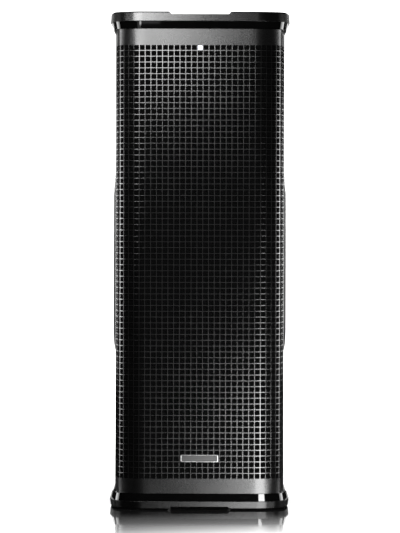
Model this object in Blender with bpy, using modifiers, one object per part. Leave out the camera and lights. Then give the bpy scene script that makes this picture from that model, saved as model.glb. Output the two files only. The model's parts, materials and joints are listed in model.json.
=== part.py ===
# Powered column loudspeaker: two woofers round a horn, wrap-round grille, moulded end caps.
# Front faces -Y, +Z is up, metres. Dimensions below are in millimetres.
import math

import bmesh
import bpy
from mathutils import Matrix, Vector

MM = 0.001
GAP = 0.3

# heights
FOOT_H = 2.0
CAP_B0, CAP_B1 = 2.0, 18.3
RING_B0, RING_B1 = 18.6, 33.6
BODY_0, BODY_1 = 33.9, 1009.4
RING_T0, RING_T1 = 1009.7, 1024.8
CAP_T0, CAP_T1 = 1025.1, 1045.0

# plan of the grille and cabinet (right half)
FRONT_Y = -175.0
BACK_Y = 174.0
HALF_W = 178.9
FLAT_X = 130.0
BEND_R = 44.0
WING_X, WING_Y = 170.3, -155.8
CORNER_R = 38.0
GRILLE_END_Y = -80.0
GRILLE_T = 1.5
FOAM_T = 5.0

# plan of the end caps (right half)
CAP_HALF_W = 190.0
CAP_HALF_D = 185.0
CHANNEL_D = 5.4
CHANNEL_MOUTH = 65.0
CHANNEL_FLOOR = 60.0

# cabinet boards
SIDE_OUT = 178.6
SIDE_IN = 160.0
INSIDE_X = 159.6
TONGUE_X, TONGUE_TIP_X = 170.5, 164.6
BAFFLE_Y0, BAFFLE_Y1 = -140.0, -124.0
BACK_BOARD_Y0 = 159.5

# grille
HOLE_PITCH = 12.152
ROWS_MID_Z = 520.3
LIGHT_Z = ROWS_MID_Z + 37 * HOLE_PITCH

# side handles
HANDLE_Z = 523.0
HANDLE_Y = 10.0
HANDLE_OUT = 184.0
POCKET_FLOOR = 124.0
GRIP_R = 12.5

# drive units
WOOFER_Z = {"lower": 195.0, "upper": 848.0}
HORN_Z = 521.5
PORT_Z = 364.0
STEPS = 18

# rear panel
PANEL_Z = 330.0
PANEL_Y0, PANEL_Y1 = 164.8, 167.3
KNOB_Z = 362.0
JACK_Z = 296.0
INLET_Z = 205.0
LEVEL_X, TONE_X, BUTTON_X = 60.0, 0.0, -60.0
INPUT_X, LINK_X = 50.0, -50.0
SOCKET_X, ROCKER_X = 22.0, -28.0
ROCKER_PIVOT_Y = 166.0
ROCKER_TILT = math.radians(-10)  # rests switched on, upper half pressed in
SCREW_X, SCREW_Z = 113.5, 188.0

for old in list(bpy.data.objects):
    bpy.data.objects.remove(old, do_unlink=True)

PARTS = bpy.data.collections.new("column_loudspeaker")
CUTTERS = bpy.data.collections.new("cutters")
bpy.context.scene.collection.children.link(PARTS)
bpy.context.scene.collection.children.link(CUTTERS)

FRONT = (math.pi / 2, 0, 0)
REAR = (-math.pi / 2, 0, 0)
UP = (0, 0, 0)


def finish(name, colour, rough, metal=0.0, glow=0.0):
    mat = bpy.data.materials.new(name)
    mat.use_nodes = True
    shader = mat.node_tree.nodes["Principled BSDF"]
    shader.inputs["Base Color"].default_value = (*colour, 1)
    shader.inputs["Roughness"].default_value = rough
    shader.inputs["Metallic"].default_value = metal
    if glow:
        shader.inputs["Emission Color"].default_value = (*colour, 1)
        shader.inputs["Emission Strength"].default_value = glow
    return mat


BLACK_BOARD = finish("black_board", (0.02, 0.02, 0.02), 0.7)
CAP_PLASTIC = finish("cap_plastic", (0.03, 0.03, 0.03), 0.5)
GLOSS_TRIM = finish("gloss_trim", (0.005, 0.005, 0.005), 0.05)
GRILLE_STEEL = finish("grille_steel", (0.03, 0.03, 0.03), 0.45)
FOAM = finish("grille_foam", (0.01, 0.01, 0.01), 0.95)
HANDLE_PLASTIC = finish("handle_plastic", (0.03, 0.03, 0.03), 0.4)
RUBBER = finish("soft_rubber", (0.02, 0.02, 0.02), 0.85)
BADGE = finish("badge_metal", (0.35, 0.35, 0.36), 0.35, 1.0)
LIGHT = finish("power_light", (0.85, 0.92, 1.0), 0.3, 0.0, 4.0)
CAST_FRAME = finish("cast_frame", (0.06, 0.06, 0.065), 0.5, 0.6)
STEEL = finish("plain_steel", (0.45, 0.45, 0.47), 0.35, 1.0)
FERRITE = finish("ferrite", (0.05, 0.05, 0.05), 0.7)
PAPER_CONE = finish("paper_cone", (0.03, 0.03, 0.03), 0.9)
SPIDER_CLOTH = finish("spider_cloth", (0.45, 0.28, 0.1), 0.9)
COIL_COPPER = finish("coil_copper", (0.6, 0.28, 0.12), 0.4, 1.0)
HORN_PLASTIC = finish("horn_plastic", (0.025, 0.025, 0.025), 0.45)
PANEL_METAL = finish("panel_metal", (0.04, 0.04, 0.045), 0.5, 0.5)
SINK_METAL = finish("sink_metal", (0.05, 0.05, 0.055), 0.4, 0.9)
BOARD_GREEN = finish("circuit_board", (0.02, 0.12, 0.05), 0.5)
SOCKET_PLASTIC = finish("socket_plastic", (0.02, 0.02, 0.02), 0.35)
KNOB_PLASTIC = finish("knob_plastic", (0.05, 0.05, 0.05), 0.5)
SCREW_STEEL = finish("screw_steel", (0.08, 0.08, 0.08), 0.35, 1.0)


def place(obj, material, location=(0, 0, 0), rotation=UP, cutter=False):
    obj.location = Vector(location) * MM
    obj.rotation_euler = rotation
    if material is not None:
        obj.data.materials.clear()
        obj.data.materials.append(material)
    if cutter:
        CUTTERS.objects.link(obj)
        obj.hide_render = True
        obj.display_type = "WIRE"
    else:
        PARTS.objects.link(obj)
    return obj


def fillet(corners):
    """Closed loop from (x, y, radius, segments) corners given anticlockwise."""
    points = []
    count = len(corners)
    for i, (x, y, radius, segments) in enumerate(corners):
        here = Vector((x, y))
        before = (Vector(corners[i - 1][:2]) - here).normalized()
        after = (Vector(corners[(i + 1) % count][:2]) - here).normalized()
        half = before.angle(after) / 2
        if radius <= 0:
            points.append((x, y))
            continue
        reach = radius / math.tan(half)
        centre = here + (before + after).normalized() * (radius / math.sin(half))
        start = here + before * reach - centre
        turn = math.pi - 2 * half
        for k in range(segments + 1):
            a = turn * k / segments
            c, s = math.cos(a), math.sin(a)
            points.append((centre.x + c * start.x - s * start.y, centre.y + s * start.x + c * start.y))
    return points


def grow(corners, by):
    """Move every side of an anticlockwise convex outline outward."""
    moved = []
    count = len(corners)
    for i, (x, y, radius, segments) in enumerate(corners):
        here = Vector((x, y))
        into = (here - Vector(corners[i - 1][:2])).normalized()
        out = (Vector(corners[(i + 1) % count][:2]) - here).normalized()
        n1 = Vector((into.y, -into.x))
        n2 = Vector((out.y, -out.x))
        spot = here + (n1 + n2) * (by / (1 + n1.dot(n2)))
        moved.append((spot.x, spot.y, max(radius + by, 0.5), segments))
    return moved


def both_sides(half):
    """Right half corners, front to back, completed on the left."""
    return half + [(-x, y, r, s) for x, y, r, s in reversed(half)]


def box_loop(half_x, half_y, radius, segments=5, at=(0, 0)):
    return fillet(
        [
            (at[0] + half_x, at[1] - half_y, radius, segments),
            (at[0] + half_x, at[1] + half_y, radius, segments),
            (at[0] - half_x, at[1] + half_y, radius, segments),
            (at[0] - half_x, at[1] - half_y, radius, segments),
        ]
    )


def ring_loop(radius, at=(0, 0), count=STEPS):
    return [
        (at[0] + radius * math.cos(2 * math.pi * k / count), at[1] + radius * math.sin(2 * math.pi * k / count))
        for k in range(count)
    ]


def block(name, size, material, centre, bevel=0.0, cutter=False):
    bm = bmesh.new()
    bmesh.ops.create_cube(bm, size=1.0, matrix=Matrix.Diagonal((size[0] * MM, size[1] * MM, size[2] * MM, 1)))
    mesh = bpy.data.meshes.new(name)
    bm.to_mesh(mesh)
    bm.free()
    obj = place(bpy.data.objects.new(name, mesh), material, centre, cutter=cutter)
    if bevel:
        mod = obj.modifiers.new("edge", "BEVEL")
        mod.width = bevel * MM
        mod.segments = 2
    return obj


def blocks(name, boxes):
    """Several separate boxes as one tool: (size, centre) pairs."""
    bm = bmesh.new()
    for size, centre in boxes:
        bmesh.ops.create_cube(
            bm,
            size=1.0,
            matrix=Matrix.Translation(Vector(centre) * MM) @ Matrix.Diagonal((size[0] * MM, size[1] * MM, size[2] * MM, 1)),
        )
    mesh = bpy.data.meshes.new(name)
    bm.to_mesh(mesh)
    bm.free()
    return place(bpy.data.objects.new(name, mesh), None, cutter=True)


def drum(name, radius, length, material, centre, rotation=UP, cutter=False, steps=STEPS):
    bm = bmesh.new()
    bmesh.ops.create_cone(
        bm, cap_ends=True, segments=steps, radius1=radius * MM, radius2=radius * MM, depth=length * MM
    )
    mesh = bpy.data.meshes.new(name)
    bm.to_mesh(mesh)
    bm.free()
    return place(bpy.data.objects.new(name, mesh), material, centre, rotation, cutter)


def sheet(name, loops, thickness, material, centre=(0, 0, 0), rotation=UP, cutter=False):
    """A flat outline with its holes, given thickness."""
    curve = bpy.data.curves.new(name + "_outline", "CURVE")
    curve.dimensions = "2D"
    curve.fill_mode = "BOTH"
    curve.extrude = thickness * MM / 2
    for loop in loops:
        spline = curve.splines.new("POLY")
        spline.points.add(len(loop) - 1)
        for point, (x, y) in zip(spline.points, loop):
            point.co = (x * MM, y * MM, 0, 1)
        spline.use_cyclic_u = True
    drawn = bpy.data.objects.new(name + "_outline", curve)
    CUTTERS.objects.link(drawn)
    graph = bpy.context.evaluated_depsgraph_get()
    mesh = bpy.data.meshes.new_from_object(drawn.evaluated_get(graph))
    bpy.data.objects.remove(drawn, do_unlink=True)
    bm = bmesh.new()
    bm.from_mesh(mesh)
    bmesh.ops.remove_doubles(bm, verts=bm.verts, dist=1e-6)
    bmesh.ops.recalc_face_normals(bm, faces=bm.faces)
    bm.to_mesh(mesh)
    bm.free()
    return place(bpy.data.objects.new(name, mesh), material, centre, rotation, cutter)


def loft(name, sections, material, cutter=False, smooth=False):
    """Skin between closed loops of 3-D points, capped at both ends."""
    bm = bmesh.new()
    rings = [[bm.verts.new(Vector(p) * MM) for p in section] for section in sections]
    count = len(rings[0])
    for low, high in zip(rings, rings[1:]):
        for i in range(count):
            bm.faces.new((low[i], low[(i + 1) % count], high[(i + 1) % count], high[i]))
    bm.faces.new(list(reversed(rings[0])))
    bm.faces.new(rings[-1])
    bmesh.ops.recalc_face_normals(bm, faces=bm.faces)
    mesh = bpy.data.meshes.new(name)
    bm.to_mesh(mesh)
    bm.free()
    if smooth:
        for face in mesh.polygons:
            face.use_smooth = True
    return place(bpy.data.objects.new(name, mesh), material, cutter=cutter)


def turned(name, profile, material, centre, facing, steps=STEPS, cutter=False):
    """A profile of (radius, height) spun round its axis, outer side running down."""
    mesh = bpy.data.meshes.new(name)
    points = [(r * MM, 0, h * MM) for r, h in profile]
    edges = [(i, i + 1) for i in range(len(points) - 1)]
    if profile[0][0] > 0:
        edges.append((len(points) - 1, 0))
    mesh.from_pydata(points, edges, [])
    obj = place(bpy.data.objects.new(name, mesh), material, centre, facing, cutter)
    mod = obj.modifiers.new("turn", "SCREW")
    mod.axis = "Z"
    mod.angle = 2 * math.pi
    mod.steps = steps
    mod.render_steps = steps
    mod.use_merge_vertices = True
    mod.merge_threshold = 0.00001
    mod.use_smooth_shade = True
    return obj


def carve(obj, tool, how="DIFFERENCE"):
    mod = obj.modifiers.new(how.lower(), "BOOLEAN")
    mod.operation = how
    mod.solver = "EXACT"
    mod.object = tool
    return obj


def at_height(loop, z):
    return [(x, y, z) for x, y in loop]


# ---- plan outlines -------------------------------------------------------------------
BODY_PLAN = both_sides(
    [
        (FLAT_X, FRONT_Y, BEND_R, 4),
        (WING_X, WING_Y, CORNER_R, 7),
        (HALF_W, GRILLE_END_Y, 60.0, 1),
        (HALF_W, 95.0, 40.0, 3),
        (134.0, BACK_Y, 20.0, 3),
    ]
)
CAP_PLAN = both_sides(
    [
        (132.3, -CAP_HALF_D, 54.0, 4),
        (180.7, -161.9, 49.0, 7),
        (CAP_HALF_W, GRILLE_END_Y, 70.0, 1),
        (CAP_HALF_W, 97.0, 45.0, 2),
        (140.0, CAP_HALF_D, 30.0, 3),
    ]
)


def band(inner, outer):
    """Open wrap from the left end round the front to the right end, as a closed strip."""
    def open_run(by):
        half = grow(BODY_PLAN, by)[:2]
        lean = math.atan2(HALF_W - WING_X, GRILLE_END_Y - WING_Y)
        ends = [(HALF_W + by / math.cos(lean), GRILLE_END_Y, 0, 0)]
        run = fillet([(0.0, half[0][1], 0, 0)] + half + ends)
        return [(x, y) for x, y in run]

    def both(run):
        return [(-x, y) for x, y in reversed(run[1:])] + run[1:]

    return both(open_run(outer)) + list(reversed(both(open_run(inner))))


# ---- cabinet boards ------------------------------------------------------------------
for side, name in ((1, "right"), (-1, "left")):
    outline = fillet(
        [
            (SIDE_IN, -131.0, 0, 0),
            (TONGUE_TIP_X, -131.0, 0, 0),
            (TONGUE_X, GRILLE_END_Y + 0.6, 0, 0),
            (SIDE_OUT, GRILLE_END_Y + 0.6, 0, 0),
            (SIDE_OUT, 95.0, 40.0, 4),
            (133.9, 173.7, 0, 0),
            (133.9, 143.3, 0, 0),
            (SIDE_IN, 91.2, 0, 0),
        ]
    )
    panel = sheet(
        name + "_side_panel",
        [[(side * x, y) for x, y in outline]],
        BODY_1 - BODY_0,
        BLACK_BOARD,
        (0, 0, (BODY_0 + BODY_1) / 2),
    )
    for end, flip in ((BODY_0, 1), (BODY_1, -1)):
        flare = [(174.0, 0.0), (183.0, 0.0), (183.0, 1.2), (181.0, 2.8), (179.6, 5.4), (178.6, 9.0), (174.0, 9.0)]
        tool = loft(
            name + ("_flare_low" if flip > 0 else "_flare_high"),
            [[(side * x, y, end + flip * z) for x, z in flare] for y in (GRILLE_END_Y + 0.6, 84.0)],
            None,
            cutter=True,
        )
        carve(panel, tool, "UNION")
    carve(
        panel,
        block(name + "_handle_cut", (60, 97.4, 312.4), None, (side * 172.0, HANDLE_Y, HANDLE_Z), cutter=True),
    )

back_board = block(
    "back_panel",
    (266.8, BACK_Y - BACK_BOARD_Y0, BODY_1 - BODY_0),
    BLACK_BOARD,
    (0, (BACK_Y + BACK_BOARD_Y0) / 2, (BODY_0 + BODY_1) / 2),
)
carve(back_board, block("amp_way", (216.0, 60.0, 366.0), None, (0, 165.0, PANEL_Z), cutter=True))
carve(back_board, block("panel_rebate", (240.0, 20.0, 390.0), None, (0, 164.5 + 10.0, PANEL_Z), cutter=True))
for sx in (1, -1):
    for sz in (1, -1):
        where = (sx * SCREW_X, 162.0, PANEL_Z + sz * SCREW_Z)
        carve(back_board, drum("screw_way", 2.2, 12.0, None, where, FRONT, True, 8))

inside = [(INSIDE_X, -123.6), (INSIDE_X, 91.0), (133.4, 143.1), (133.4, 159.1)]
inside = inside + [(-x, y) for x, y in reversed(inside)]
sheet("top_board", [inside], 14.0, BLACK_BOARD, (0, 0, BODY_1 - 7.0))
sheet("bottom_board", [inside, ring_loop(21.6, (0, 20.0))], 14.0, BLACK_BOARD, (0, 0, BODY_0 + 7.0))

mouths = [ring_loop(117.9, (0, z), 28) for z in WOOFER_Z.values()]
mouths.append(box_loop(118.0, 106.0, 20.0, 4, (0, HORN_Z)))
mouths.append(box_loop(95.4, 21.4, 8.4, 3, (0, PORT_Z)))
sheet(
    "front_baffle",
    [box_loop(INSIDE_X, (BODY_1 - BODY_0) / 2, 0, 0, (0, (BODY_0 + BODY_1) / 2))] + mouths,
    BAFFLE_Y1 - BAFFLE_Y0,
    BLACK_BOARD,
    (0, (BAFFLE_Y0 + BAFFLE_Y1) / 2, 0),
    FRONT,
)

# ---- grille, foam, badge and power light ---------------------------------------------
grille = sheet(
    "front_grille", [band(-GRILLE_T, 0.0)], BODY_1 - BODY_0 - 0.4, GRILLE_STEEL, (0, 0, (BODY_0 + BODY_1) / 2)
)
foam = sheet(
    "grille_foam", [band(-1.9 - FOAM_T, -1.9)], BODY_1 - BODY_0 - 12.0, FOAM, (0, 0, (BODY_0 + BODY_1) / 2)
)
light_way = block("light_way", (9.3, 40.0, 9.3), None, (0, FRONT_Y + 5.0, LIGHT_Z), cutter=True)
carve(grille, light_way)
carve(foam, light_way)
lamp = block("power_led", (8.6, 13.2, 8.6), LIGHT, (0, -168.6, LIGHT_Z))
carve(lamp, block("lamp_flange", (14.0, 2.0, 14.0), None, (0, -165.8, LIGHT_Z), cutter=True), "UNION")
block("badge_plate", (78.0, 2.0, 15.0), BADGE, (0, FRONT_Y - 1.4, 108.0), bevel=0.6)

# ---- end caps and gloss rings --------------------------------------------------------
EDGE = ((0.0, 0.0), (0.72, 1.0), (0.9, 2.8), (1.0, 7.6))


def end_cap(name, inner_z, outer_z):
    way = 1 if outer_z > inner_z else -1
    tall = abs(outer_z - inner_z)
    sections = [at_height(fillet(grow(CAP_PLAN, -in_by)), inner_z + way * part * tall) for part, in_by in EDGE]
    cap = loft(name, sections, CAP_PLASTIC)
    pocket = fillet(grow(CAP_PLAN, -12.0))
    roof = tall - CHANNEL_D - 3.0
    carve(
        cap,
        loft(
            name + "_pocket",
            [at_height(pocket, inner_z - way * 2.0), at_height(pocket, inner_z + way * roof)],
            None,
            cutter=True,
        ),
    )
    channel = [
        (CHANNEL_FLOOR, outer_z - way * CHANNEL_D),
        (CHANNEL_MOUTH + 4.6, outer_z + way * 5.0),
        (-CHANNEL_MOUTH - 4.6, outer_z + way * 5.0),
        (-CHANNEL_FLOOR, outer_z - way * CHANNEL_D),
    ]
    carve(
        cap,
        loft(name + "_channel", [[(x, y, z) for x, z in channel] for y in (-200.0, 200.0)], None, cutter=True),
    )
    return cap


def trim_ring(name, body_z, cap_z):
    outer = [at_height(fillet(grow(CAP_PLAN, by)), z) for z, by in ((body_z, -6.0), (cap_z, -3.0))]
    ring = loft(name, outer, GLOSS_TRIM)
    hollow = fillet(grow(BODY_PLAN, -16.0))
    low, high = min(body_z, cap_z) - 3.0, max(body_z, cap_z) + 3.0
    carve(ring, loft(name + "_hollow", [at_height(hollow, low), at_height(hollow, high)], None, cutter=True))
    return ring


end_cap("top_cap", CAP_T0, CAP_T1)
foot_cap = end_cap("bottom_cap", CAP_B1, CAP_B0)
trim_ring("top_trim_ring", RING_T0, RING_T1)
trim_ring("bottom_trim_ring", RING_B1, RING_B0)

for side, name in ((1, "right"), (-1, "left")):
    sheet(
        name + "_foot_rail", [box_loop(10.0, 125.0, 6.0, 3)], 3.2, RUBBER, (side * 125.0, 0, 1.6)
    )
    carve(
        foot_cap,
        sheet(
            name + "_foot_groove",
            [box_loop(10.4, 125.4, 6.4, 3)],
            8.0,
            None,
            (side * 125.0, 0, 3.6 - 4.0),
            cutter=True,
        ),
    )
carve(foot_cap, drum("pole_way", 22.0, 60.0, None, (0, 20.0, 10.0), cutter=True))
turned(
    "pole_socket",
    [
        (0, 95.0), (21.0, 95.0), (21.0, 33.3), (34.0, 33.3), (34.0, 29.5), (21.0, 29.5), (21.0, 8.0),
        (18.0, 8.0), (18.0, 91.0), (0, 91.0),
    ],
    SOCKET_PLASTIC,
    (0, 20.0, 0),
    UP,
)

# ---- side handles --------------------------------------------------------------------
for side, name in ((1, "right"), (-1, "left")):
    def rim(x, half_len, half_wide, radius):
        return [(side * x, HANDLE_Y + y, HANDLE_Z + z) for y, z in box_loop(half_wide, half_len, radius, 4)]

    cup = loft(
        name + "_handle_cup",
        [
            rim(121.0, 150.0, 44.0, 30.0),
            rim(178.9, 155.0, 47.5, 32.0),
            rim(178.95, 198.0, 58.0, 50.0),
            rim(180.2, 197.0, 57.2, 49.6),
            rim(182.6, 187.0, 54.0, 48.0),
            rim(HANDLE_OUT, 172.0, 51.0, 46.0),
        ],
        HANDLE_PLASTIC,
    )
    carve(
        cup,
        loft(
            name + "_pocket",
            [
                rim(POCKET_FLOOR, 146.0, 40.0, 27.0),
                rim(177.0, 150.4, 43.0, 29.0),
                rim(182.0, 152.0, 44.2, 30.0),
                rim(186.0, 156.0, 48.2, 33.0),
            ],
            None,
            cutter=True,
        ),
    )
    path = bpy.data.curves.new(name + "_handle_grip", "CURVE")
    path.dimensions = "3D"
    path.bevel_depth = GRIP_R * MM
    path.bevel_resolution = 2
    path.use_fill_caps = True
    spline = path.splines.new("POLY")
    stops = (-1.0, -0.6, 0.0, 0.6, 1.0)
    spline.points.add(len(stops) - 1)
    for point, stop in zip(spline.points, stops):
        point.co = (side * (169.0 - 3.0 * stop * stop) * MM, HANDLE_Y * MM, (HANDLE_Z + 147.8 * stop) * MM, 1)
    place(bpy.data.objects.new(name + "_handle_grip", path), RUBBER)


# ---- woofers -------------------------------------------------------------------------
def roll(radius, start, stop, count):
    """Points of the half roll, seen in section."""
    return [
        (106.8 + radius * math.cos(math.pi * (start + (stop - start) * k / count)),
         2.6 + radius * math.sin(math.pi * (start + (stop - start) * k / count)))
        for k in range(count + 1)
    ]


def dome(radius, top, edge, count, down):
    run = [(radius * k / count, top - (top - edge) * (k / count) ** 2) for k in range(count + 1)]
    return run if down else list(reversed(run))


def pleats(shift):
    return [(31.0 + 7.0 * k, -61.3 + shift + (2.2 if k % 2 else -2.2)) for k in range(4)]


for where, z in WOOFER_Z.items():
    spot = (0, BAFFLE_Y0, z)

    def spun(piece, profile, material):
        return turned(where + "_woofer_" + piece, profile, material, spot, FRONT)

    basket = spun(
        "basket",
        [
            (129.0, 6.3), (129.0, 0.3), (117.2, 0.3), (116.6, -8.0), (68.0, -66.0), (68.0, -80.0), (29.5, -80.0),
            (29.5, -76.5), (54.0, -76.5), (54.0, -62.0), (63.5, -62.0), (112.5, -4.0), (112.5, 3.3), (121.0, 3.3),
            (121.0, 6.3),
        ],
        CAST_FRAME,
    )
    windows = bmesh.new()
    for k in range(6):
        turn = Matrix.Rotation(2 * math.pi * (k + 0.25) / 6, 4, "Y")
        shift = Matrix.Translation(Vector((98.0, 36.0, 0)) * MM)
        bmesh.ops.create_cube(
            windows, size=1.0, matrix=turn @ shift @ Matrix.Diagonal((62 * MM, 34 * MM, 54 * MM, 1))
        )
    mesh = bpy.data.meshes.new(where + "_windows")
    windows.to_mesh(mesh)
    windows.free()
    carve(basket, place(bpy.data.objects.new(where + "_windows", mesh), None, spot, cutter=True))

    spun(
        "cone",
        [(100.2, -1.6), (100.2, -3.4), (30.5, -51.5), (26.5, -56.0), (26.5, -52.0), (29.8, -49.6)],
        PAPER_CONE,
    )
    spun("dust_cap", dome(38.0, -31.0, -42.6, 3, True) + dome(37.4, -31.9, -43.4, 3, False), PAPER_CONE)
    spun(
        "surround",
        [(120.6, 4.6), (120.6, 3.6)]
        + roll(5.2, 0.065, 1.0, 4)
        + [(101.6, -2.4), (100.6, -2.4)]
        + list(reversed(roll(6.2, 0.105, 1.0, 4))),
        RUBBER,
    )
    spun(
        "spider",
        [(62.8, -60.9), (62.8, -61.7)]
        + [(r, h) for r, h in reversed(pleats(-0.45))]
        + [(26.5, -61.7), (26.5, -60.9)]
        + pleats(0.45),
        SPIDER_CLOTH,
    )
    spun(
        "voice_coil",
        [(26.1, -47.0), (26.1, -77.5), (27.2, -77.5), (27.2, -87.0), (25.4, -87.0), (25.4, -47.0)],
        COIL_COPPER,
    )
    spun("top_plate", [(66.0, -80.3), (66.0, -88.3), (28.0, -88.3), (28.0, -80.3)], STEEL)
    spun("magnet", [(72.0, -88.6), (72.0, -108.6), (36.0, -108.6), (36.0, -88.6)], FERRITE)
    spun(
        "yoke",
        [(24.6, -79.5), (24.6, -108.9), (66.0, -108.9), (66.0, -117.0), (9.0, -117.0), (9.0, -79.5)],
        STEEL,
    )

# ---- horn and its driver -------------------------------------------------------------
HORN_COUNT = 24
THROAT_Y, MOUTH_Y = -30.0, -143.3


def horn_ring(half_x, half_z, square, y):
    ring = []
    for k in range(HORN_COUNT):
        a = 2 * math.pi * (k + 0.5) / HORN_COUNT
        c, s = math.cos(a), math.sin(a)
        ring.append(
            (
                half_x * math.copysign(abs(c) ** (2 / square), c),
                y,
                HORN_Z + half_z * math.copysign(abs(s) ** (2 / square), s),
            )
        )
    return ring


horn_bm = bmesh.new()
stations = []
for k in range(6):
    t = k / 5
    wide = 12.7 * (109.0 / 12.7) ** (t ** 1.15)
    tall = 12.7 * (97.0 / 12.7) ** (t ** 1.15)
    stations.append(horn_ring(wide, tall, 2.0 + 3.0 * t, THROAT_Y + (MOUTH_Y + 3.0 - THROAT_Y) * t))
stations.append(horn_ring(112.0, 100.0, 5.0, MOUTH_Y))
stations.append(horn_ring(128.0, 115.0, 7.0, MOUTH_Y))
rows = [[horn_bm.verts.new(Vector(p) * MM) for p in ring] for ring in stations]
for near, far in zip(rows, rows[1:]):
    for i in range(HORN_COUNT):
        horn_bm.faces.new((near[i], near[(i + 1) % HORN_COUNT], far[(i + 1) % HORN_COUNT], far[i]))
horn_bm.normal_update()
horn_mesh = bpy.data.meshes.new("horn_flare")
horn_bm.to_mesh(horn_mesh)
horn_bm.free()
horn = place(bpy.data.objects.new("horn_flare", horn_mesh), HORN_PLASTIC)
wall = horn.modifiers.new("wall", "SOLIDIFY")
wall.thickness = 2.6 * MM
wall.offset = -1.0
wall.use_even_offset = True

turned(
    "hf_driver_housing",
    [(0, -30.0), (30.0, -30.0), (30.0, -14.0), (12.9, -14.0), (12.9, 0.0), (48.0, 0.0), (48.0, -52.0), (0, -52.0)],
    CAST_FRAME,
    (0, THROAT_Y + 0.6, HORN_Z),
    FRONT,
)
turned(
    "hf_diaphragm",
    dome(20.5, -17.5, -22.0, 2, True)
    + [(21.2, -22.0), (21.2, -27.0), (20.5, -27.0), (20.5, -22.8)]
    + dome(20.5, -18.2, -22.8, 2, False)[1:],
    COIL_COPPER,
    (0, THROAT_Y + 0.6, HORN_Z),
    FRONT,
)
sheet(
    "port_duct",
    [box_loop(95.0, 21.0, 8.0, 3), box_loop(91.0, 17.0, 4.0, 3)],
    120.0,
    HORN_PLASTIC,
    (0, BAFFLE_Y0 + 60.0, PORT_Z),
    FRONT,
)

# ---- amplifier -----------------------------------------------------------------------
panel_holes = [ring_loop(12.3, (x, JACK_Z), 16) for x in (INPUT_X, LINK_X)]
panel_holes += [ring_loop(3.6, (x, KNOB_Z), 10) for x in (LEVEL_X, TONE_X)]
panel_holes.append(ring_loop(5.7, (BUTTON_X, KNOB_Z), 12))
panel_holes.append(box_loop(47.0, 15.0, 1.0, 1, (-3.0, INLET_Z)))
panel_holes += [ring_loop(2.2, (sx * SCREW_X, PANEL_Z + sz * SCREW_Z), 8) for sx in (1, -1) for sz in (1, -1)]
sheet(
    "rear_panel",
    [box_loop(119.0, 194.0, 4.0, 2, (0, PANEL_Z))] + panel_holes,
    PANEL_Y1 - PANEL_Y0,
    PANEL_METAL,
    (0, (PANEL_Y0 + PANEL_Y1) / 2, 0),
    FRONT,
)

FINS, FIN_PITCH, FIN_T, FIN_H, SINK_T = 15, 13.6, 2.4, 11.0, 4.0
comb = []
for k in range(FINS):
    x = (k - (FINS - 1) / 2) * FIN_PITCH
    comb += [(x - FIN_T / 2, SINK_T), (x - FIN_T / 2, SINK_T + FIN_H), (x + FIN_T / 2, SINK_T + FIN_H), (x + FIN_T / 2, SINK_T)]
comb += [(100.0, SINK_T), (100.0, 0.0), (-100.0, 0.0), (-100.0, SINK_T)]
sheet("heat_sink", [comb], 108.0, SINK_METAL, (0, PANEL_Y1 + GAP, 457.0))

tray_bm = bmesh.new()
bmesh.ops.create_cube(tray_bm, size=1.0, matrix=Matrix.Diagonal((213 * MM, 68 * MM, 363 * MM, 1)))
tray_bm.faces.ensure_lookup_table()
bmesh.ops.delete(
    tray_bm, geom=[f for f in tray_bm.faces if f.normal.y > 0.9], context="FACES_ONLY"
)
tray_mesh = bpy.data.meshes.new("amp_chassis")
tray_bm.to_mesh(tray_mesh)
tray_bm.free()
tray = place(bpy.data.objects.new("amp_chassis", tray_mesh), PANEL_METAL, (0, 130.2, PANEL_Z))
wall = tray.modifiers.new("wall", "SOLIDIFY")
wall.thickness = 1.5 * MM
wall.offset = -1.0
wall.use_even_offset = True

board = block("control_board", (190.0, 1.6, 150.0), BOARD_GREEN, (0, 128.8, 330.0))
carve(
    board,
    blocks(
        "control_parts",
        [
            ((17.0, 31.0, 17.0), (LEVEL_X, 144.5, KNOB_Z)),
            ((17.0, 31.0, 17.0), (TONE_X, 144.5, KNOB_Z)),
            ((12.0, 26.0, 12.0), (BUTTON_X, 142.0, KNOB_Z)),
            ((22.0, 9.0, 22.0), (0, 133.5, 310.0)),
            ((60.0, 7.0, 10.0), (0, 132.5, 270.0)),
        ],
    ),
    "UNION",
)
supply = block("power_supply", (180.0, 1.6, 330.0), BOARD_GREEN, (0, 99.4, 330.0))
carve(
    supply,
    blocks(
        "supply_parts",
        [
            ((60.0, 25.0, 52.0), (-45.0, 112.0, 250.0)),
            ((34.0, 25.0, 34.0), (40.0, 112.0, 240.0)),
            ((24.0, 22.0, 70.0), (50.0, 110.5, 330.0)),
            ((120.0, 16.0, 26.0), (0, 107.5, 440.0)),
        ],
    ),
    "UNION",
)

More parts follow.
